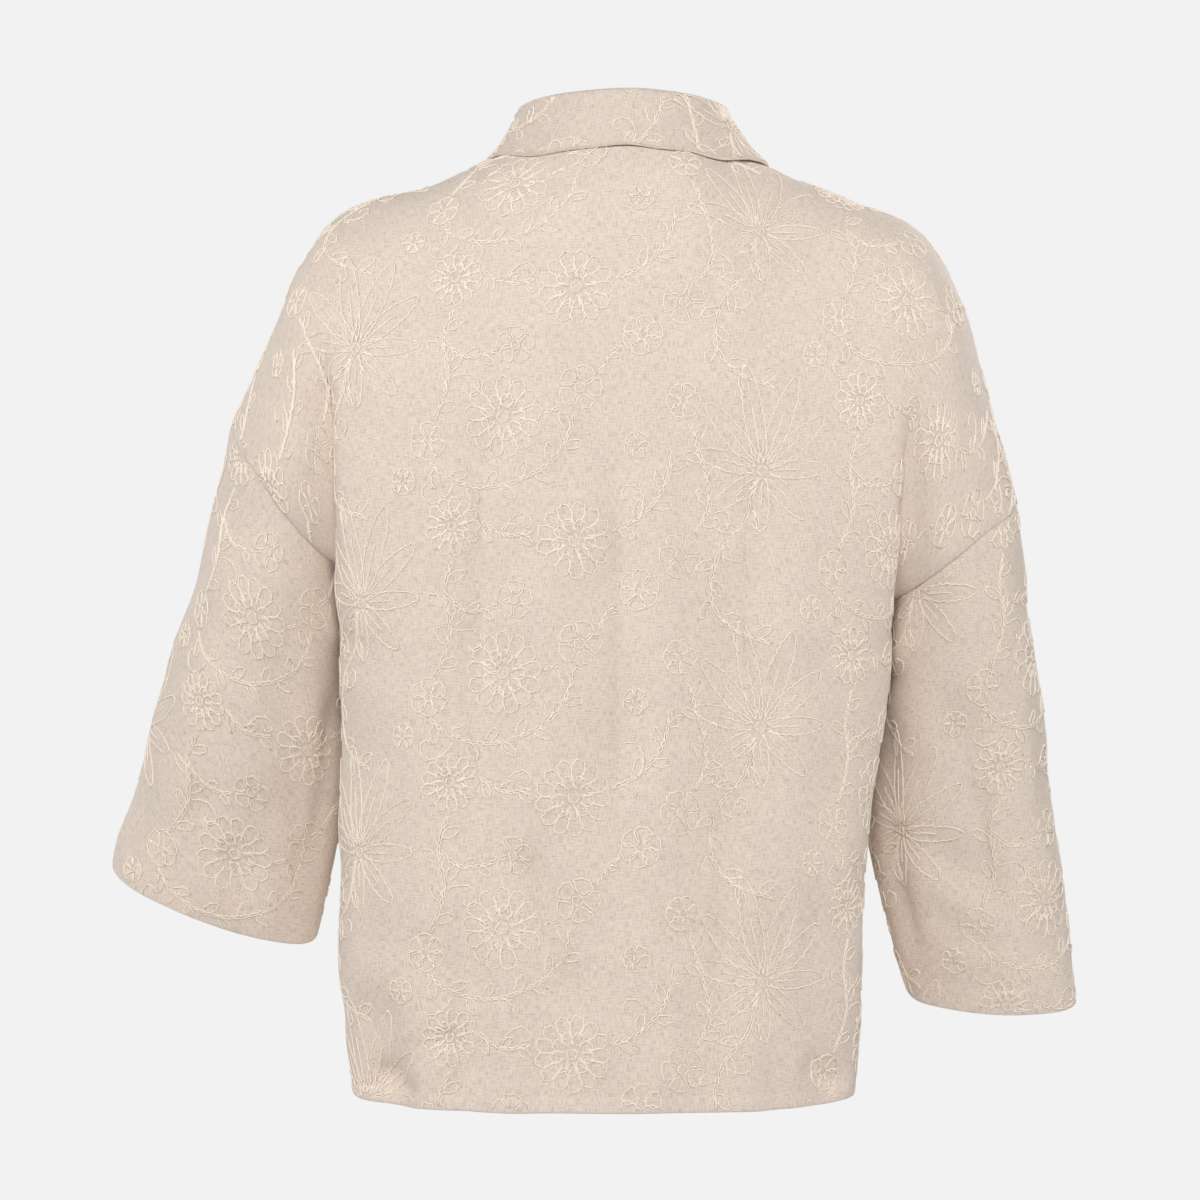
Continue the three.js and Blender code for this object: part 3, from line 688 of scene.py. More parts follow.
def laid_flat(points):
    """The flat shape of a grid whose edges and diagonals keep their lengths, in millimetres."""
    flat = np.stack([walked(points, 1), walked(points, 0)], axis=-1)
    middle = points.shape[1] // 2
    flat[..., 0] -= flat[:, middle:middle + 1, 0]
    whole = slice(None)
    front = slice(None, -1)
    back = slice(1, None)
    pairs = [
        ((whole, front), (whole, back)),
        ((front, whole), (back, whole)),
        ((front, front), (back, back)),
        ((front, back), (back, front)),
    ]
    lengths = [np.linalg.norm(points[b] - points[a], axis=-1) for a, b in pairs]
    counts = np.zeros(points.shape[:2] + (1,))
    for a, b in pairs:
        counts[a] += 1
        counts[b] += 1
    for _ in range(flatten_rounds):
        moves = np.zeros_like(flat)
        for (a, b), length in zip(pairs, lengths):
            gap = flat[b] - flat[a]
            now = np.linalg.norm(gap, axis=-1)
            pull = gap * (0.5 * (1 - length / now))[..., None]
            moves[a] += pull
            moves[b] -= pull
        flat += flatten_pull * moves / counts
    return flat


# %% The cloth of one piece
cloth_wall = 1.0
doubled_wall = 1.5
hem_inside = 2.15
hem_fold = [(0.4, 1.9), (0, 1.07), (0.4, 0.3)]


class Cloth:
    """One piece: a grid of points on its outer face, rows from the hem up, and its flat pattern.
    plain is its form, bent has the folds too, and points has the rumple, hem and seams as well."""

    def __init__(self, name, plain, bent, hem_stops=None, hem_depth=0):
        self.name = name
        self.plain = plain
        self.bent = bent
        self.points = bent
        self.normals = grid_normals(bent)
        self.hem_stops = hem_stops
        self.hem_depth = hem_depth

    def lay_flat(self):
        self.flat = laid_flat(self.points)
        self.normals = grid_normals(self.points)

    def with_hem(self):
        """The points and the pattern with the hem's turned-up rows in front."""
        if self.hem_stops is None:
            return self.points, self.flat
        turned = [i for i, stop in enumerate(self.hem_stops) if 1 < stop <= self.hem_depth][::-1]
        rows = [self.points[i] - hem_inside * self.normals[i] for i in turned]
        flat = [2 * self.flat[0] - self.flat[i] for i in turned]
        up = unit(self.points[1] - self.points[0])
        flat_up = unit(self.flat[1] - self.flat[0])
        for height, depth in hem_fold:
            rows.append(self.points[0] + height * up - depth * self.normals[0])
            flat.append(self.flat[0] - (depth / hem_inside) * flat_up)
        rows.extend(self.points[1:])
        flat.extend(self.flat[1:])
        return np.array(rows), np.array(flat)


def deselect():
    bpy.ops.object.select_all(action="DESELECT")


def apply_modifier(piece, kind, **settings):
    modifier = piece.modifiers.new(kind.title(), kind)
    for name, value in settings.items():
        setattr(modifier, name, value)
    bpy.context.view_layer.objects.active = piece
    bpy.ops.object.modifier_apply(modifier=modifier.name)


def grid_piece(name, points, pattern, material):
    """A flat grid moved to rows of points in millimetres. pattern is its UV map in metres."""
    rows, columns = points.shape[:2]
    deselect()
    bpy.ops.mesh.primitive_grid_add(x_subdivisions=columns - 1, y_subdivisions=rows - 1)
    piece = bpy.context.object
    mesh = piece.data
    piece.name = mesh.name = name
    mesh.vertices.foreach_set("co", (points * MM).ravel())
    corner = np.zeros(len(mesh.loops), int)
    mesh.loops.foreach_get("vertex_index", corner)
    mesh.uv_layers.active.data.foreach_set("uv", pattern.reshape(-1, 2)[corner].ravel())
    mesh.materials.append(material)
    mesh.update()
    return piece


def sew(cloth, wall, material):
    """The finished piece: a flat grid moved to its worn form and given its thickness."""
    points, flat = cloth.with_hem()
    piece = grid_piece(cloth.name, points, flat * MM, material)
    apply_modifier(piece, "SOLIDIFY", thickness=wall * MM, offset=-1)
    bpy.ops.object.shade_smooth_by_angle(angle=math.radians(50))
    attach(piece, BODY)
    cloth.piece = piece
    print(cloth.name, points.shape[0], "rows by", points.shape[1], "columns")
    return piece


def declare(cloth):
    """Works out the flat shape of a piece with its hem, and does nothing more with it."""
    _, flat = cloth.with_hem()


# %% [markdown]
# ## Back and fronts
# The back is one piece from side seam to side seam. Each front runs from its band to the side seam.
# Rows keep their true distance from the hem, so that the hem stitching is level with the edge.

# %% Stops of the body panels
hem_depth = 11
hem_stops = (0, 1.2, 3, 6.5, 9.6, hem_depth, 12.4, 15)
band_half = 16
sample = np.linspace(0, 1, 240)


def even_across(face):
    """Stops from the centre line to the side seam, about evenly spaced on the cloth."""
    stops = []
    for low, high, end in ((0, neck_share, (0,)), (neck_share, 1, seam_stops)):
        across = mix(low, high, sample)
        lengths = [walked(body_point("left", face, across, up), 0) for up in (0.4, 1.2, 1.8)]
        mean = np.mean(lengths, axis=0)
        stops.append(np.interp(spaced(mean[-1], (0,), end), mean, across))
    return stops


def front_start(side, up, distance):
    """Where each row of a front is that far from the centre line."""
    across = np.linspace(0, 0.25, 120)
    lengths = walked(body_point(side, "front", across[None, :], up[:, None]), 1)
    return np.array([np.interp(distance, row, across) for row in lengths])


def rows_up(side, face, across, top_end):
    """For each column, the places up the panel at even distances from the hem."""
    up = np.linspace(0, 2, 480)
    return even_rows(body_point(side, face, across[None, :], up[:, None]), up, hem_stops, top_end)


# %% Folds of the body panels
soft_rounds = 90
soft_pull = 0.8
soft_reach = 0.11
soft_from = {"up": 1.15, "over": 0.45}
soft_to = {"up": 1.86, "over": 0.12}


def softened(points, up, across):
    """Evens out the crease that would run down from each neck point, but not the top edge itself."""
    near = hill(across - neck_share, soft_reach) * ease((up - soft_from["up"]) / soft_from["over"])
    near = (near * (1 - ease((up - soft_to["up"]) / soft_to["over"])))[:, 1:-1, None]
    points = points.copy()
    for _ in range(soft_rounds):
        between = (points[:, :-2] + points[:, 2:]) / 2
        points[:, 1:-1] += soft_pull * near * (between - points[:, 1:-1])
    return points


def folded(points, up, across, face):
    """Moves the large and small folds in towards the body's middle."""
    seam_fade = (1 - across**10) * (1 - np.maximum(up - 1, 0) ** 6)
    depth = fold_depth(body_folds[face], points[..., 0], points[..., 2]) * seam_fade
    inward = unit(points * (-fold_lean, -1, 0))
    return points + inward * depth[..., None]


# %% Back
neck_stops, shoulder_stops = even_across("back")
half_stops = np.concatenate([neck_stops, shoulder_stops[1:]])
back_half_ups = [rows_up(side, "back", half_stops, seam_stops) for side in SIGNS]
row_count = min(len(up) for up in back_half_ups)


def back_half(side, up):
    plain = softened(body_point(side, "back", half_stops[None, :], up), up, half_stops[None, :])
    return plain, folded(plain, up, half_stops[None, :], "back")


left_half, right_half = [
    back_half(side, up[matching_rows(len(up), row_count)]) for side, up in zip(SIGNS, back_half_ups)
]
back = Cloth(
    "linen_back",
    *[np.concatenate([left[:, ::-1], right[:, 1:]], axis=1) for left, right in zip(left_half, right_half)],
    hem_stops,
    hem_depth,
)

# %% Fronts
fronts = {}
neck_stops, shoulder_stops = even_across("front")
neck_cells = neck_stops / neck_share
for side in SIGNS:
    guess = np.concatenate([mix(0.07, neck_share, neck_cells), shoulder_stops[1:]])
    up = rows_up(side, "front", guess, seam_stops)
    start = front_start(side, up[:, 0], band_half)
    near = mix(start[:, None], neck_share, neck_cells[None, :])
    across = np.concatenate([near, np.tile(shoulder_stops[1:], (len(up), 1))], axis=1)
    plain = softened(body_point(side, "front", across, up), up, across)
    bent = folded(plain, up, across, "front")
    if side == "right":
        plain, bent = plain[:, ::-1], bent[:, ::-1]
    fronts[side] = Cloth(f"linen_front_{side}", plain, bent, hem_stops, hem_depth)

# %% [markdown]
# ## Sleeves
# Each sleeve is one piece wrapped round, with its seam at the underarm and a deeper hem.

# %% Sleeves
sleeve_hem = 20
cuff_stops = (0, 1.2, 3, 7, 13, 18.4, sleeve_hem, 21.6, 25)
sleeves = {}


def build_sleeve(side):
    turns = np.linspace(0, 360, 361)
    lengths = [walked(sleeve_point(side, a * np.ones(361), turns), 0) for a in (1, 4, 7)]
    mean = np.mean(lengths, axis=0)
    columns = np.interp(spaced(mean[-1], seam_stops, seam_stops), mean, turns)
    alongs = np.linspace(sleeve_steps, 0, 300)
    grid = sleeve_point(side, alongs[:, None], columns[None, :])
    along = even_rows(grid, alongs, cuff_stops, seam_stops)
    plain = sleeve_point(side, along, columns[None, :])
    centre = (sleeve_point(side, along, 0 * along) + sleeve_point(side, along, 180 + 0 * along)) / 2
    table = sleeve_folds[side] * (1, sleeve_step, 1, sleeve_step, 1, 1)
    depth = fold_depth(table, columns[None, :] + 0 * along, along * sleeve_step) * ease(along)
    bent = plain + unit(centre - plain) * depth[..., None]
    if side == "left":
        plain, bent = plain[:, ::-1], bent[:, ::-1]
    return Cloth(f"linen_sleeve_{side}", plain, bent, cuff_stops, sleeve_hem)


for side in SIGNS:
    sleeves[side] = build_sleeve(side)

# %% [markdown]
# ## Seams
# At a seam both pieces roll inwards along the same direction, so that they meet in a shallow
# groove and not in a gap. That direction is the mean of the facings of all the edges that meet.

# %% Seams and hems
seam_meeting = 3.5
seam_depth = 3
hem_swell = 0.35
hem_groove = 0.45
groove_reach = 1.1
hem_pucker = 0.22
pucker_pitch = 9
pucker_reach = 6
body_pieces = [back, *fronts.values(), *sleeves.values()]
edge_lines = {"hem": (0, 0, 1), "top": (0, -1, -1), "start": (1, 0, 1), "end": (1, -1, -1)}
seam_edges = ("top", "start", "end")


def edge_line(grid, edge, step):
    axis, first, way = edge_lines[edge]
    return np.moveaxis(grid, axis, 0)[first + way * step]


seam_points = np.concatenate([edge_line(c.bent, e, 0) for c in body_pieces for e in seam_edges])
seam_facings = np.concatenate([edge_line(c.normals, e, 0) for c in body_pieces for e in seam_edges])
seam_tree = KDTree(len(seam_points))
for number, point in enumerate(seam_points):
    seam_tree.insert(point, number)
seam_tree.balance()


def from_edges(points, *edges):
    """Distances walked on a grid from each of the named edges."""
    height = walked(points, 0)
    width = walked(points, 1)
    walks = {"hem": height, "top": height[-1:] - height, "start": width, "end": width[:, -1:] - width}
    return [walks[edge] for edge in edges]


def relief_of(cloth):
    """How far each point stands out: rumple, hem and seams."""
    height, width = from_edges(cloth.plain, "hem", "start")
    from_stitches = height - cloth.hem_depth
    relief = rumple(cloth.plain) + hem_swell * ease((1 - from_stitches) / 1.5)
    pucker = np.sin(2 * math.pi * width / pucker_pitch + 3 * np.sin(width / 31))
    relief += hem_pucker * pucker * hill(from_stitches, pucker_reach)
    relief -= hem_groove * hill(from_stitches, groove_reach)
    for distance in from_edges(cloth.plain, *seam_edges):
        relief -= seam_roll * hill(distance, seam_reach)
    return relief


def finish_grid(cloth):
    for edge in seam_edges:
        line = edge_line(cloth.bent, edge, 0)
        near = [[number for _, number, _ in seam_tree.find_range(p, seam_meeting)] for p in line]
        shared = unit(np.array([seam_facings[numbers].sum(axis=0) for numbers in near]))
        for step in range(seam_depth):
            own = edge_line(cloth.normals, edge, step)
            own[:] = unit(mix(shared, own, step / seam_depth))
    relief = relief_of(cloth)
    cloth.points = cloth.bent + cloth.normals * relief[..., None]
    for edge in seam_edges:
        outer = edge_line(cloth.points, edge, 0)
        outer += seam_back * unit(edge_line(cloth.points, edge, 1) - outer)
    cloth.lay_flat()


for cloth in body_pieces:
    finish_grid(cloth)
for cloth, node in zip(body_pieces, ("back", "front_left", "front_right", "sleeve_left", "sleeve_right")):
    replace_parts(sew(cloth, cloth_wall, linen), node)

# %% [markdown]
# ## Front bands
# Each band is doubled cloth. The right one laps over the left one and carries the buttonholes.

# %% Front bands
band_lap = 22
band_top = 3
band_out = 1.9
band_edge = (0, 1, 2, 3, 4.2)
band_roll = 0.4
band_groove = 0.25
band_margin = 3
band_lines = [("start", band_margin), ("end", band_margin), ("hem", hem_depth)]


def build_band(name, low, high, out):
    """A strip of the two fronts' surface, from low to high beside the centre line."""
    up = rows_up("left", "front", np.array([0.02]), (band_top, band_top + 1.2, band_top + 3))[:, 0]
    asides = low + spaced(high - low, band_edge, band_edge)
    plain = []
    bent = []
    for aside in asides:
        side = "left" if aside >= 0 else "right"
        across = front_start(side, up, abs(aside))
        column = body_point(side, "front", across, up)
        plain.append(column)
        bent.append(folded(column, up, across, "front"))
    plain, bent = [np.stack(columns, axis=1) for columns in (plain, bent)]
    band = Cloth(name, plain, bent, hem_stops, hem_depth)
    height, *sides = from_edges(plain, "hem", "start", "end")
    relief = out + rumple(plain) + hem_swell * ease((hem_depth + 1 - height) / 1.5)
    for distance in sides:
        relief -= band_roll * hill(distance, 1) + band_groove * hill(distance - band_margin, 1)
    band.points = bent + band.normals * relief[..., None]
    band.hem_stops = None
    band.lay_flat()
    return band


band_left = build_band("linen_band_left", -band_half + seam_back, band_half - seam_back, 0)
band_right = build_band("linen_band_right", -band_lap, band_half, band_out)
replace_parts(sew(band_left, cloth_wall, linen), "band_left")
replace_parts(sew(band_right, doubled_wall, linen), "band_right")

# %% [markdown]
# ## Collar
# The stand rises from the neckline to a fold line, and the leaf turns over that line and falls on
# the shoulders. The leaf is laid on the finished panels by rays cast down on them, and its edge
# lifts a little at one shoulder, as in the photograph.

# %% Collar sizes
fold_line = {"half_width": 71, "back": 70, "front": 68}
fold_heights = {"back": 31.5, "side": 26, "front": -40}
stand_lap = 12
stand_foot = {"out": -0.4, "up": -1.4}
lapping = {"from": 150, "over": 20, "by": 1.9}
leaf_end = 168
leaf_wall = 1.5
leaf_clear = 0.2
leaf_reach = 3
leaf_bend = {"out": 0.3, "down": 0.55}
leaf_lift = {"angle": -58, "over": 13, "by": 3.2}
leaf_edge = np.array([
    # angle round from the centre back, x, y
    (-168, -47, -99), (-150, -78, -84), (-130, -99, -60), (-110, -110, -30), (-90, -111, 6),
    (-70, -103, 37), (-50, -80, 61), (-25, -41, 80), (0, -3, 83), (25, 33, 78), (50, 64, 57),
    (70, 82, 30), (90, 91, 4), (110, 93, -31), (130, 84, -60), (150, 66, -84), (168, 37, -99),
], float)
leaf_roll = np.array([
    # step, out, up
    (0, -2.3, 1.3), (1, -0.5, 2.6), (2, 1.8, 2.4), (3, 4.2, 1),
], float)


# %% Collar stand
def fold_point(angle):
    turn = np.radians(angle)
    depth = np.cos(turn)
    front = np.maximum(-depth, 0) ** neck_drop["front_curve"]
    x = neck["centre"] + fold_line["half_width"] * np.sin(turn)
    y = np.where(depth > 0, fold_line["back"], fold_line["front"]) * depth
    high = mix(fold_heights["side"], fold_heights["back"], depth)
    low = mix(fold_heights["side"], fold_heights["front"], front)
    return points_of(x, y, np.where(depth > 0, high, low))


def fold_frame(angle):
    along = unit(fold_point(angle + 1) - fold_point(angle - 1))
    up = fold_point(angle) - neck_point(angle)
    up = unit(up - along * (up * along).sum(axis=-1, keepdims=True))
    return up, np.cross(up, along)


def outward_at(angle):
    turn = np.radians(angle)
    return points_of(np.sin(turn), np.cos(turn), 0)


stand_angles = np.linspace(-180 - stand_lap, 180 + stand_lap, 170)
lapped = ease((stand_angles - lapping["from"]) / lapping["over"]) * lapping["by"]
foot = neck_point(stand_angles) + outward_at(stand_angles) * stand_foot["out"] + (0, 0, stand_foot["up"])
stand_ups = np.array([0, 0.03, 0.09, 0.25, 0.4, 0.55, 0.7, 0.85, 0.95, 1])[:, None, None]
stand_points = mix(foot[None], fold_point(stand_angles)[None], stand_ups)
stand_points = stand_points - (outward_at(stand_angles) * lapped[:, None])[None]
stand_points = stand_points[:, ::-1]
stand = Cloth("linen_collar_stand", stand_points, stand_points)
stand.lay_flat()
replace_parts(sew(stand, doubled_wall, collar_linen_painted_shade), "collar_stand")

# %% Collar leaf
def surface_of(cloths):
    """The outer faces of some pieces as a search tree."""
    points = []
    faces = []
    for cloth in cloths:
        shape = cloth.points.shape[:2]
        index = np.arange(math.prod(shape)).reshape(shape) + len(points)
        points.extend(cloth.points.reshape(-1, 3).tolist())
        faces.extend(np.stack(grid_corners(index), axis=-1).reshape(-1, 4).tolist())
    return BVHTree.FromPolygons(points, faces)


panel_tree = surface_of(body_pieces)
sky_height = 200


def face_below(x, y):
    place, facing, _, _ = panel_tree.ray_cast((x, y, sky_height), (0, 0, -1))
    if place is None:
        return None
    return np.array(place), np.array(facing) * math.copysign(1, facing.z)


def laid_over(points):
    """Lifts points until the leaf's wall is clear of the panels below and beside them."""
    lifted = points.copy()
    for point in lifted.reshape(-1, 3):
        for x, y in ((0, 0), (1, 0), (-1, 0), (0, 1), (0, -1)):
            face = face_below(point[0] + leaf_reach * x, point[1] + leaf_reach * y)
            if face is None:
                continue
            height = (point - face[0]) @ face[1]
            point += face[1] * max(leaf_wall + leaf_clear - height, 0)
    return lifted


leaf_angles = np.linspace(-leaf_end, leaf_end, 157)
ups, outs = fold_frame(leaf_angles)
roll = along_table(leaf_roll, np.linspace(0, 3, 9))
rolled = [fold_point(leaf_angles) + out * outs + up * ups for out, up in roll]
edge_xy = along_table(leaf_edge, leaf_angles)
edge_z = np.array([face_below(x, y)[0][2] for x, y in edge_xy])
edge = laid_over(np.column_stack([edge_xy, edge_z]))
lift = leaf_lift["by"] * hill(leaf_angles - leaf_lift["angle"], leaf_lift["over"])
bend = mix(rolled[-1], edge, leaf_bend["out"])
bend[:, 2] = mix(rolled[-1][:, 2], edge[:, 2], leaf_bend["down"])
fallen = []
for share in (0.07, 0.15, 0.24, 0.33, 0.42, 0.51, 0.6, 0.69, 0.78, 0.86, 0.92, 0.965, 0.988, 1):
    row = mix(mix(rolled[-1], bend, share), mix(bend, edge, share), share)
    row = laid_over(row)
    row[:, 2] += lift * share**3
    fallen.append(row)
leaf_points = np.array([*rolled, *fallen])[::-1, ::-1]
leaf = Cloth("linen_collar_leaf", leaf_points, leaf_points)
leaf_margin = 5
leaf_rumple = 0.4
leaf_rim = [
    # height, distance from the edge, reach
    (-1.1, 0, 0.9), (0.6, 2, 1.3), (-0.3, leaf_margin, 1.1),
]
rim_edges = ("hem", "start", "end")
leaf_relief = rumple(leaf_points) * ease(walked(leaf_points, 0) / 30) * leaf_rumple
for distance in from_edges(leaf_points, *rim_edges):
    for height, place, reach in leaf_rim:
        leaf_relief += height * hill(distance - place, reach)
leaf.points = leaf_points + leaf.normals * leaf_relief[..., None]
leaf.lay_flat()
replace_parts(sew(leaf, leaf_wall, collar_linen_painted_shade), "collar_leaf")

# %% [markdown]
# ## The drawing of the embroidery
# The cord is drawn like a continuous line: flowers of outlined petals, and vines of two cords side
# by side with leaves. One drawing is repeated in columns, each half a repeat lower than the last.
# All of it is in millimetres on flat cloth. A turn is in degrees, clockwise from straight up.

# %% Petals and flowers
tile = (296, 175)


def way_of(turn):
    """The way of a turn in degrees, clockwise from straight up."""
    turn = np.radians(turn)
    return np.stack([np.sin(turn), np.cos(turn)], axis=-1)


def petal(centre, turn, start, end, width, blunt=0.4):
    """A closed outline from start to end away from a centre. blunt moves its widest part outwards."""
    round_it = np.linspace(0, 2 * math.pi, 49)
    out = (1 - np.cos(round_it)) / 2
    aside = np.sin(round_it) * (1 - blunt + 2 * blunt * out) * width / 2
    return centre + np.outer(mix(start, end, out), way_of(turn)) + np.outer(aside, way_of(turn + 90))


def ring(centre, radius):
    return centre + radius * way_of(np.linspace(0, 360, 25))


def flower(centre, count, start, end, width, turn=0, blunt=0.4):
    return [petal(centre, turn + 360 * n / count, start, end, width, blunt) for n in range(count)]


def daisy(centre, size, turn):
    outer = flower(centre, 13, 0.36 * size, size, 0.34 * size, turn)
    inner = flower(centre, 9, 0.2 * size, 0.58 * size, 0.27 * size, turn + 12)
    return [*outer, *inner, ring(centre, 0.14 * size)]


def primrose(centre, size, turn):
    return [*flower(centre, 5, 0.3 * size, size, 0.8 * size, turn, 0.5), ring(centre, 0.24 * size)]


def rosette(centre, size, turn):
    return [*flower(centre, 6, 0.22 * size, size, 0.84 * size, turn, 0.3), ring(centre, 0.24 * size)]


# %% The lily
lily_petals = [
    # turn, length, width
    (-78, 50, 13), (-45, 62, 14), (-14, 74, 14), (17, 70, 15), (47, 60, 14), (84, 49, 12),
    (132, 46, 12), (176, 42, 11), (-130, 47, 12),
]


def lily(centre, lean):
    strokes = [ring(centre, 3.2)]
    for turn, length, width in lily_petals:
        strokes.append(petal(centre, turn + lean, 5, length, width, -0.1))
        strokes.append(centre + np.outer((7, 0.62 * length), way_of(turn + lean)))
    return strokes


# %% Vines and tendrils
def curve_through(stops):
    """A smooth line through a few stops, with about a point a millimetre."""
    stops = np.array(stops, float)
    ends = np.concatenate([2 * stops[:1] - stops[1:2], stops, 2 * stops[-1:] - stops[-2:-1]])
    line = []
    for before, start, end, after in zip(ends, ends[1:], ends[2:], ends[3:]):
        for t in np.linspace(0, 1, max(int(math.dist(start, end) / 2), 2), endpoint=False):
            line.append(0.5 * (2 * start + (end - before) * t
                        + (2 * before - 5 * start + 4 * end - after) * t**2
                        + (3 * start - before - 3 * end + after) * t**3))
    return np.array([*line, stops[-1]])


def vine(stops, leaf_gap, leaf_size, first=0.5):
    """Two cords side by side with pairs of leaves."""
    line = curve_through(stops)
    way = unit(np.gradient(line, axis=0))
    aside = way[:, ::-1] * (1, -1)
    strokes = [line + aside * 0.75, line - aside * 0.75]
    length = walked(line, 0)
    side = 1
    for place in np.arange(first * leaf_gap, length[-1] - 4, leaf_gap):
        at = np.argmin(abs(length - place))
        heading = math.degrees(math.atan2(way[at, 0], way[at, 1]))
        strokes.append(petal(line[at], heading + side * 48, 1, leaf_size, 0.42 * leaf_size, 0))
        side = -side
    return strokes


def tendril(start, turn, size, hand):
    """A single cord that curls in on itself."""
    share = np.linspace(0, 1, 40)
    headings = turn + hand * 400 * share**1.4
    steps = way_of(headings) * (size * 0.16 * (1.15 - share))[:, None]
    return [np.asarray(start, float) + np.cumsum(steps, axis=0)]

# %% One repeat of the drawing
flowers = [
    *lily((74, 84), 3),
    *daisy((186, 34), 28, 0),
    *daisy((236, 124), 26, 9),
    *daisy((148, 134), 20, 5),
    *primrose((240, 54), 15, 20),
    *primrose((16, 26), 15, 50),
    *primrose((194, 84), 13, 5),
    *rosette((283, 90), 14, 10),
    *rosette((131, 18), 13, 0),
    *rosette((16, 132), 12, 25),
    *primrose((280, 14), 9, 30),
    *rosette((112, 166), 9, 0),
]
vines = [
    *vine([(70, 78), (62, 50), (44, 28), (38, 0), (52, -22), (84, -34)], 14, 15),
    *vine([(131, 4), (150, -10), (178, -14), (206, -6), (226, 10), (238, 38)], 13, 14),
    *vine([(214, 36), (226, 40)], 30, 6),
    *vine([(252, 62), (262, 78), (270, 84)], 30, 8),
    *vine([(135, 31), (146, 60), (142, 88), (148, 112)], 15, 15),
    *vine([(142, 88), (160, 76), (182, 80)], 13, 11),
    *vine([(168, 138), (188, 128), (208, 130)], 13, 12),
    *vine([(262, 130), (284, 140), (300, 160), (306, 186)], 14, 14),
    *vine([(26, 40), (36, 62), (30, 92), (20, 118)], 15, 14),
    *tendril((150, -10), 200, 12, 1),
    *tendril((284, 140), 20, 11, -1),
    *tendril((36, 62), 100, 10, 1),
    *tendril((188, 128), 10, 10, 1),
    *tendril((146, 60), 60, 11, 1),
    *tendril((44, 28), 130, 10, -1),
]
print("cord in one repeat:", round(sum(walked(line, 0)[-1] for line in [*flowers, *vines])), "mm")

# %% [markdown]
# ## Laying cord and thread on the cloth
# A sewing machine works on flat cloth, so the drawing is made on each piece's flat pattern and then
# carried to its worn form. A cord is a grid of four rows: right foot, crown, left foot and right
# foot again, closed where the first and last rows meet, and drawn in to a point at its ends.


# %% From the flat pattern to the worn form
def crossed(first, second):
    return first[:, 0] * second[:, 1] - first[:, 1] * second[:, 0]


class PatternMap:
    """Finds places of a piece's flat pattern on its worn form."""

    def __init__(self, cloth, rows=slice(1, -1)):
        shape = cloth.points.shape[:2]
        corners = grid_corners(np.arange(math.prod(shape)).reshape(shape)[rows, 1:-1])
        halves = [np.stack([corners[0], corners[k], corners[k + 1]], axis=-1) for k in (1, 2)]
        self.triangles = np.concatenate([half.reshape(-1, 3) for half in halves])
        self.flat = cloth.flat.reshape(-1, 2)
        self.points = cloth.points.reshape(-1, 3)
        self.normals = cloth.normals.reshape(-1, 3)
        level = np.column_stack([self.flat, np.zeros(len(self.flat))])
        self.tree = BVHTree.FromPolygons(level.tolist(), self.triangles.tolist())

    def find(self, places):
        """Point and facing at each flat place, and whether the place is on the piece."""
        hits = [self.tree.ray_cast((x, y, 1), (0, 0, -1))[2] for x, y in places]
        on = np.array([hit is not None for hit in hits])
        corners = self.triangles[[hit or 0 for hit in hits]]
        first, second, third = np.moveaxis(self.flat[corners], 1, 0)
        whole = crossed(second - first, third - first)
        to_second = crossed(places - first, third - first) / whole
        to_third = crossed(second - first, places - first) / whole
        shares = np.stack([1 - to_second - to_third, to_second, to_third], axis=-1)[..., None]
        points = (shares * self.points[corners]).sum(axis=1)
        return points, unit((shares * self.normals[corners]).sum(axis=1)), on


# %% Cord as a mesh
SUNK = 0.15


def build_cords(name, points, facings, runs, width, height, material):
    """Cords along points on the cloth. runs says which cord each point is on."""
    count = len(points)
    first = np.insert(runs[1:] != runs[:-1], 0, True)
    last = np.append(first[1:], True)
    number = np.arange(count)
    way = unit(points[number + ~last] - points[number - ~first])
    open_here = (~(first | last))[:, None]
    aside = unit(np.cross(facings, way)) * (width / 2) * open_here
    foot = points - facings * SUNK
    crown = foot + facings * (height + SUNK) * open_here
    sections = np.stack([foot - aside, crown, foot + aside, foot - aside])
    length = np.insert(np.cumsum(np.linalg.norm(np.diff(points, axis=0), axis=1)), 0, 0) * MM
    around = np.arange(4)[:, None] / 3
    piece = grid_piece(name, sections, np.stack(np.broadcast_arrays(length, around), axis=-1), material)
    mesh = piece.data
    mesh.vertices.foreach_set("select", np.zeros(len(mesh.vertices), bool))
    mesh.edges.foreach_set("select", np.zeros(len(mesh.edges), bool))
    mesh.polygons.foreach_set("select", np.tile(last[:-1], 3))
    bpy.context.tool_settings.mesh_select_mode = (False, False, True)
    bpy.ops.object.mode_set(mode="EDIT")
    if count > 1 and last[:-1].any():
        bpy.ops.mesh.delete(type="FACE")
    bpy.ops.mesh.select_all(action="SELECT")
    bpy.ops.mesh.remove_doubles(threshold=0.000002)
    bpy.ops.object.mode_set(mode="OBJECT")
    bpy.ops.object.shade_smooth()
    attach(piece, BODY)
    print(name, int(last.sum()), "runs,", sum(len(face.vertices) - 2 for face in mesh.polygons), "triangles")
    return piece


# %% Cord with the small wander of a machine's hand
cord = {"width": 1.65, "height": 0.92, "material": cord_thread}
cord_wander = {"by": 0.5, "every": 5}
least_points = 4


def corded(stroke, step):
    """A stroke at even steps, with a small seeded wander to both sides."""
    length = walked(stroke, 0)
    places = np.linspace(0, length[-1], max(round(length[-1] / step), least_points) + 1)
    line = np.column_stack([np.interp(places, length, stroke[:, k]) for k in (0, 1)])
    way = unit(np.gradient(line, axis=0))
    start, drift = chance.uniform(0, 2 * math.pi, 2)
    turns = 2 * math.pi * places / cord_wander["every"] + start + 1.4 * np.sin(places / 8 + drift)
    shift = cord_wander["by"] * (np.sin(turns) + 0.45 * chance.normal(size=len(places)))
    return line + shift[:, None] * way[:, ::-1] * (1, -1)


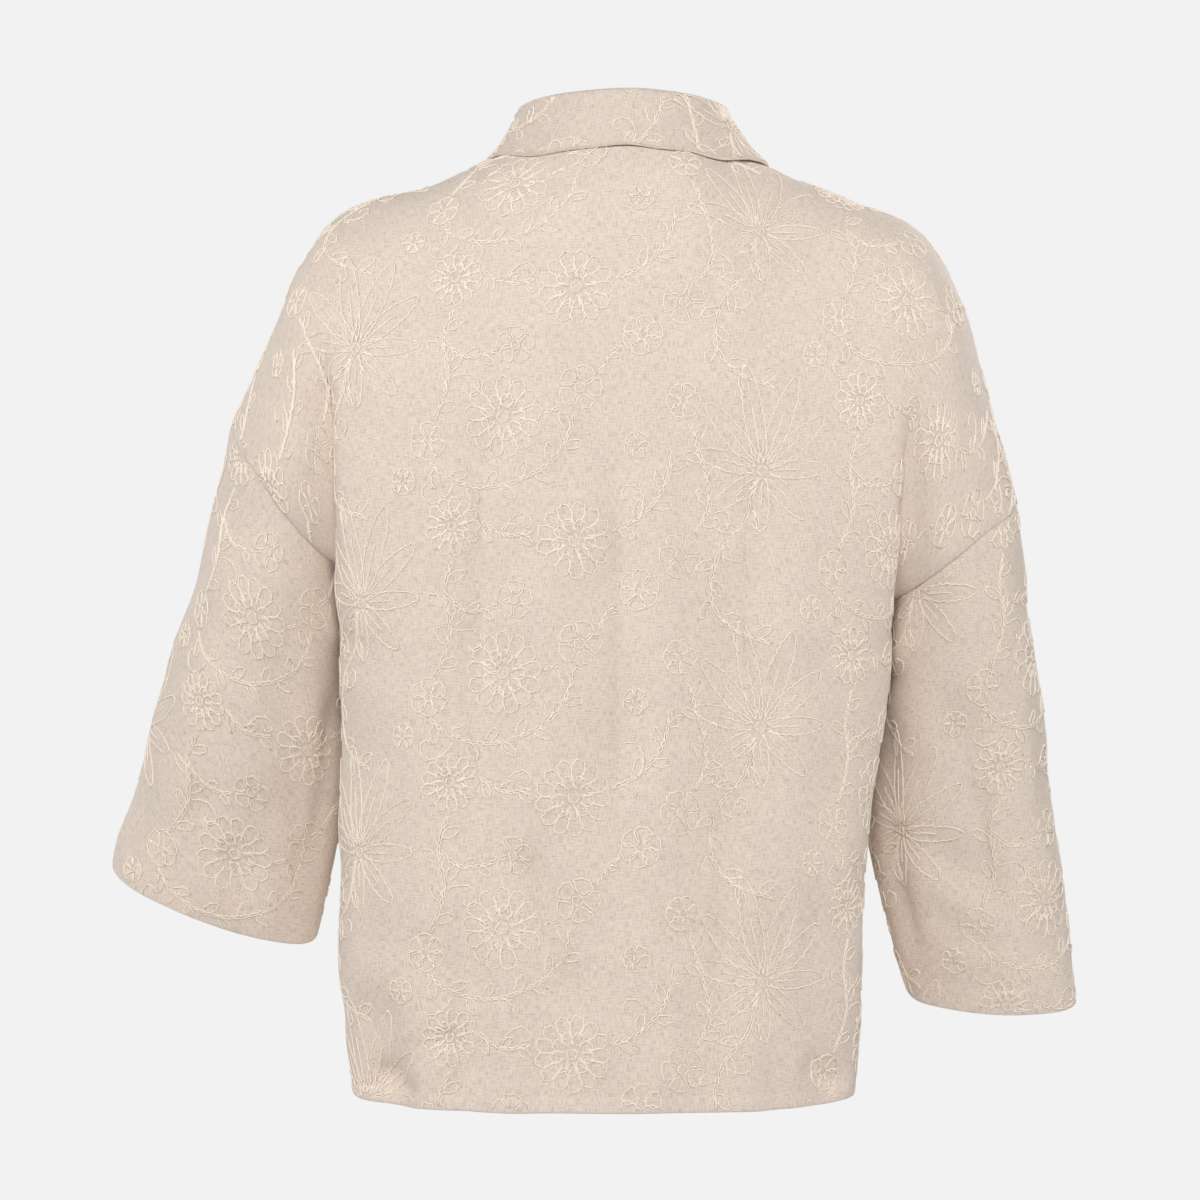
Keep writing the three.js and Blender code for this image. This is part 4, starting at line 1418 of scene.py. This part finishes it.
def tiled(strokes, cloth, start):
    """The drawing repeated over a piece's flat pattern, with the run that each place is on."""
    low = cloth.flat.reshape(-1, 2).min(axis=0)
    high = cloth.flat.reshape(-1, 2).max(axis=0)
    first = np.floor((low - start) / tile).astype(int) - 1
    final = np.ceil((high - start) / tile).astype(int) + 1
    places = []
    for column in range(first[0], final[0]):
        for row in range(first[1], final[1]):
            shift = start + np.array([column * tile[0], (row + column % 2 / 2) * tile[1]])
            for stroke in strokes:
                moved = stroke + shift
                if (moved.max(axis=0) > low).all() and (moved.min(axis=0) < high).all():
                    places.append(moved)
    return np.concatenate(places), np.repeat(np.arange(len(places)), [len(line) for line in places])


def lay(name, pattern, places, runs, **thread):
    """Lays strokes on a piece, cut where they leave it."""
    points, facings, on = pattern.find(places)
    parted = np.insert((runs[1:] != runs[:-1]) | (on[1:] != on[:-1]), 0, True)
    runs = np.cumsum(parted)
    keep = on & (np.bincount(runs)[runs] >= least_points)
    return build_cords(name, points[keep], facings[keep], runs[keep], **thread)


# %% Embroidery on every piece
back_step = 1.75
side_step = 2.1
leaf_rows = slice(1, -7)
embroidery = [
    # piece, where the drawing starts, step, rows of the grid that it may lie on, separate drawings
    (back, (30, 4), back_step, slice(1, -1), True),
    (fronts["left"], (-96, 60), side_step, slice(1, -1), False),
    (fronts["right"], (40, -20), side_step, slice(1, -1), False),
    (sleeves["left"], (-76, 22), side_step, slice(1, -1), False),
    (sleeves["right"], (60, -40), side_step, slice(1, -1), False),
    (band_left, (-70, 30), side_step, slice(1, -1), False),
    (band_right, (10, 70), side_step, slice(1, -1), False),
    (leaf, (20, -52), side_step, leaf_rows, False),
]
sewn_on = {}
for cloth, start, step, rows, parted in embroidery:
    pattern = PatternMap(cloth, rows)
    drawings = {"flowers": flowers, "vines": vines} if parted else {"cord": [*flowers, *vines]}
    sewn_on[cloth.name] = []
    for label, strokes in drawings.items():
        name = cloth.name.replace("linen", label)
        places, runs = tiled([corded(stroke, step) for stroke in strokes], cloth, np.array(start))
        sewn_on[cloth.name].append(lay(name, pattern, places, runs, **cord))

# %% [markdown]
# ## Stitching
# Hems, bands and the collar are topstitched. Each stitch is a very short cord of sewing thread.

# %% Stitch lines
stitch_length = 2.4
stitch_gap = 0.8
stitch = {"width": 0.7, "height": 0.38, "material": sewing_thread}
stand_margin = 3


def line_inside(cloth, edge, distance):
    """The line on a flat pattern that runs at a distance inside one of its edges."""
    axis, _, way = edge_lines[edge]
    flat = np.moveaxis(cloth.flat, axis, 0)[::way]
    length = walked(flat, 0)
    return np.array([
        [np.interp(distance, length[:, k], flat[:, k, side]) for side in (0, 1)]
        for k in range(flat.shape[1])
    ])


def stitches_along(line):
    """Separate stitches along a line, each a stroke of four places."""
    length = walked(line, 0)
    starts = np.arange(stitch_gap, length[-1] - stitch_length, stitch_length + stitch_gap)
    places = starts[:, None] + np.array([0, 0.3, 0.7, 1]) * stitch_length
    return np.stack([np.interp(places, length, line[:, k]) for k in (0, 1)], axis=-1)


def runs_of(strokes):
    return np.repeat(np.arange(len(strokes)), strokes.shape[1])


def stitch_on(cloth, strokes, rows=slice(1, -1), name=None):
    name = name or cloth.name.replace("linen", "stitches")
    piece = lay(name, PatternMap(cloth, rows), strokes.reshape(-1, 2), runs_of(strokes), **stitch)
    sewn_on.setdefault(cloth.name, []).append(piece)


def lines_of(cloth, lines):
    return [stitches_along(line_inside(cloth, edge, distance)) for edge, distance in lines]


stitching = [
    *((cloth, [("hem", cloth.hem_depth)], slice(1, -1)) for cloth in body_pieces),
    (leaf, [(edge, leaf_margin) for edge in rim_edges], leaf_rows),
    (stand, [(edge, stand_margin) for edge in rim_edges], slice(1, -1)),
    (band_left, band_lines, slice(1, -1)),
]
for cloth, lines, rows in stitching:
    stitch_on(cloth, np.concatenate(lines_of(cloth, lines)), rows)

# %% [markdown]
# ## Buttons and buttonholes
# A shell button is a disc with a dished middle and four holes. It is modelled once, lying flat, and
# copied to the places of the model's buttons. Its thread crosses the dish from hole to hole.

# %% Places of the buttons
button_names = [f"button_{number}" for number in range(1, 7)]
button_clear = 0.1
button_places = []
for name in button_names:
    low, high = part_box(name)
    centre = (low + high) / (2 * MM)
    carrier = stand if name == "button_1" else band_right
    foot, facing, _, _ = surface_of([carrier]).find_nearest(centre)
    button_places.append((name, carrier, np.array(foot), np.array(facing)))

# %% Buttonholes
hole_length = {"linen_collar_stand": 21, "linen_band_right": 22}
hole_half = 1.1
hole_stitches = 60
overcast = 1.5


def buttonhole(middle, length, turn):
    """Short stitches across the outline of a long narrow slit."""
    share = np.linspace(0, 1, hole_stitches, endpoint=False)
    angle = 2 * math.pi * share
    outward = np.column_stack([np.sin(angle), np.cos(angle)])
    straight = (length / 2 - hole_half) * np.clip(1.6 * np.cos(angle), -1, 1)
    outline = outward * (hole_half, hole_half) + np.column_stack([0 * straight, straight])
    across = np.where(abs(np.cos(angle))[:, None] > 0.8, outward, np.sign(outward) * (1, 0))
    strokes = outline[:, None] + across[:, None] * (np.array([-0.4, 0, 0.6, 1]) * overcast - 0.2)[:, None]
    if turn:
        strokes = strokes[..., ::-1] * (1, -1)
    return middle + strokes


holes = {name: [] for name in hole_length}
for _, carrier, foot, _ in button_places:
    nearest = np.argmin(np.linalg.norm(carrier.points - foot, axis=-1))
    middle = carrier.flat.reshape(-1, 2)[nearest]
    holes[carrier.name].append(buttonhole(middle, hole_length[carrier.name], carrier is stand))
stitch_on(band_right, np.concatenate([*lines_of(band_right, band_lines), *holes[band_right.name]]))
stitch_on(stand, np.concatenate(holes[stand.name]), name="stitches_stand_buttonhole")

# %% One button
button = {"radius": 9, "height": 3, "rim": 2.2, "slope": 1.3, "dish": 1.2, "edge": 0.7}
button_hole = {"radius": 0.95, "from_middle": 2}


def select_top(piece, height):
    """Selects in edit mode the face that looks up and lies in the middle at that height."""
    bpy.ops.mesh.select_all(action="DESELECT")
    bpy.ops.object.mode_set(mode="OBJECT")
    for face in piece.data.polygons:
        face.select = face.normal.z > 0.9 and abs(face.center.z - height * MM) < 0.05 * MM
    bpy.ops.object.mode_set(mode="EDIT")


deselect()
bpy.ops.mesh.primitive_cylinder_add(
    vertices=48, radius=button["radius"] * MM, depth=button["height"] * MM,
    location=(0, 0, button["height"] / 2 * MM),
)
pattern_button = bpy.context.object
bpy.ops.object.transform_apply(location=True, rotation=False, scale=False)
bpy.ops.object.mode_set(mode="EDIT")
select_top(pattern_button, button["height"])
bpy.ops.mesh.inset(thickness=button["rim"] * MM)
bpy.ops.mesh.inset(thickness=button["slope"] * MM)
bpy.ops.transform.translate(value=(0, 0, -button["dish"] * MM))
bpy.ops.object.mode_set(mode="OBJECT")
apply_modifier(
    pattern_button, "BEVEL", width=button["edge"] * MM, segments=3, limit_method="ANGLE",
    angle_limit=math.radians(25),
)
for across, up in ((1, 1), (1, -1), (-1, 1), (-1, -1)):
    deselect()
    place = (across * button_hole["from_middle"] * MM, up * button_hole["from_middle"] * MM, 0)
    bpy.ops.mesh.primitive_cylinder_add(
        vertices=20, radius=button_hole["radius"] * MM, depth=0.02, location=place,
    )
    drill = bpy.context.object
    apply_modifier(pattern_button, "BOOLEAN", object=drill, operation="DIFFERENCE", solver="EXACT")
    bpy.data.objects.remove(drill)

# %% Six buttons and their thread
thread_width = 0.75
thread_height = 0.5
thread_line = np.array([
    # across, up, and the thread's facing across and up
    (-2, 0.4, -1, 0), (-2, 1.75, -0.8, 0.6), (-1.2, 2.15, -0.2, 1), (0, 2.3, 0, 1),
    (1.2, 2.15, 0.2, 1), (2, 1.75, 0.8, 0.6), (2, 0.4, 1, 0),
], float)
thread_rows = (-2.4, -1.7, 1.7, 2.4)
thread_points = []
thread_facings = []
for name, carrier, foot, facing in button_places:
    turn = Vector(facing).to_track_quat("Z", "Y")
    deselect()
    bpy.context.view_layer.objects.active = pattern_button
    pattern_button.select_set(True)
    bpy.ops.object.duplicate()
    piece = bpy.context.object
    piece.name = f"shell_{name}"
    piece.data.name = piece.name
    piece.rotation_mode = "QUATERNION"
    piece.rotation_quaternion = turn
    piece.location = Vector(foot + button_clear * facing) * MM
    bpy.ops.object.transform_apply()
    bpy.ops.object.shade_smooth_by_angle(angle=math.radians(35))
    piece.data.materials.append(shell)
    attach(piece, BODY)
    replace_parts(piece, name)
    frame_of_button = np.array(turn.to_matrix())
    for row in thread_rows:
        local = points_of(thread_line[:, 0], row, thread_line[:, 1])
        thread_points.append(local @ frame_of_button.T + foot + button_clear * facing)
        local = unit(points_of(thread_line[:, 2], 0, thread_line[:, 3]))
        thread_facings.append(local @ frame_of_button.T)
bpy.data.objects.remove(pattern_button)
build_cords(
    "button_thread", np.concatenate(thread_points), np.concatenate(thread_facings),
    runs_of(np.array(thread_points)), thread_width, thread_height, sewing_thread,
)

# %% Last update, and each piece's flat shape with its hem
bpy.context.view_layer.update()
for cloth in (*body_pieces, band_left, band_right, stand, leaf):
    declare(cloth)
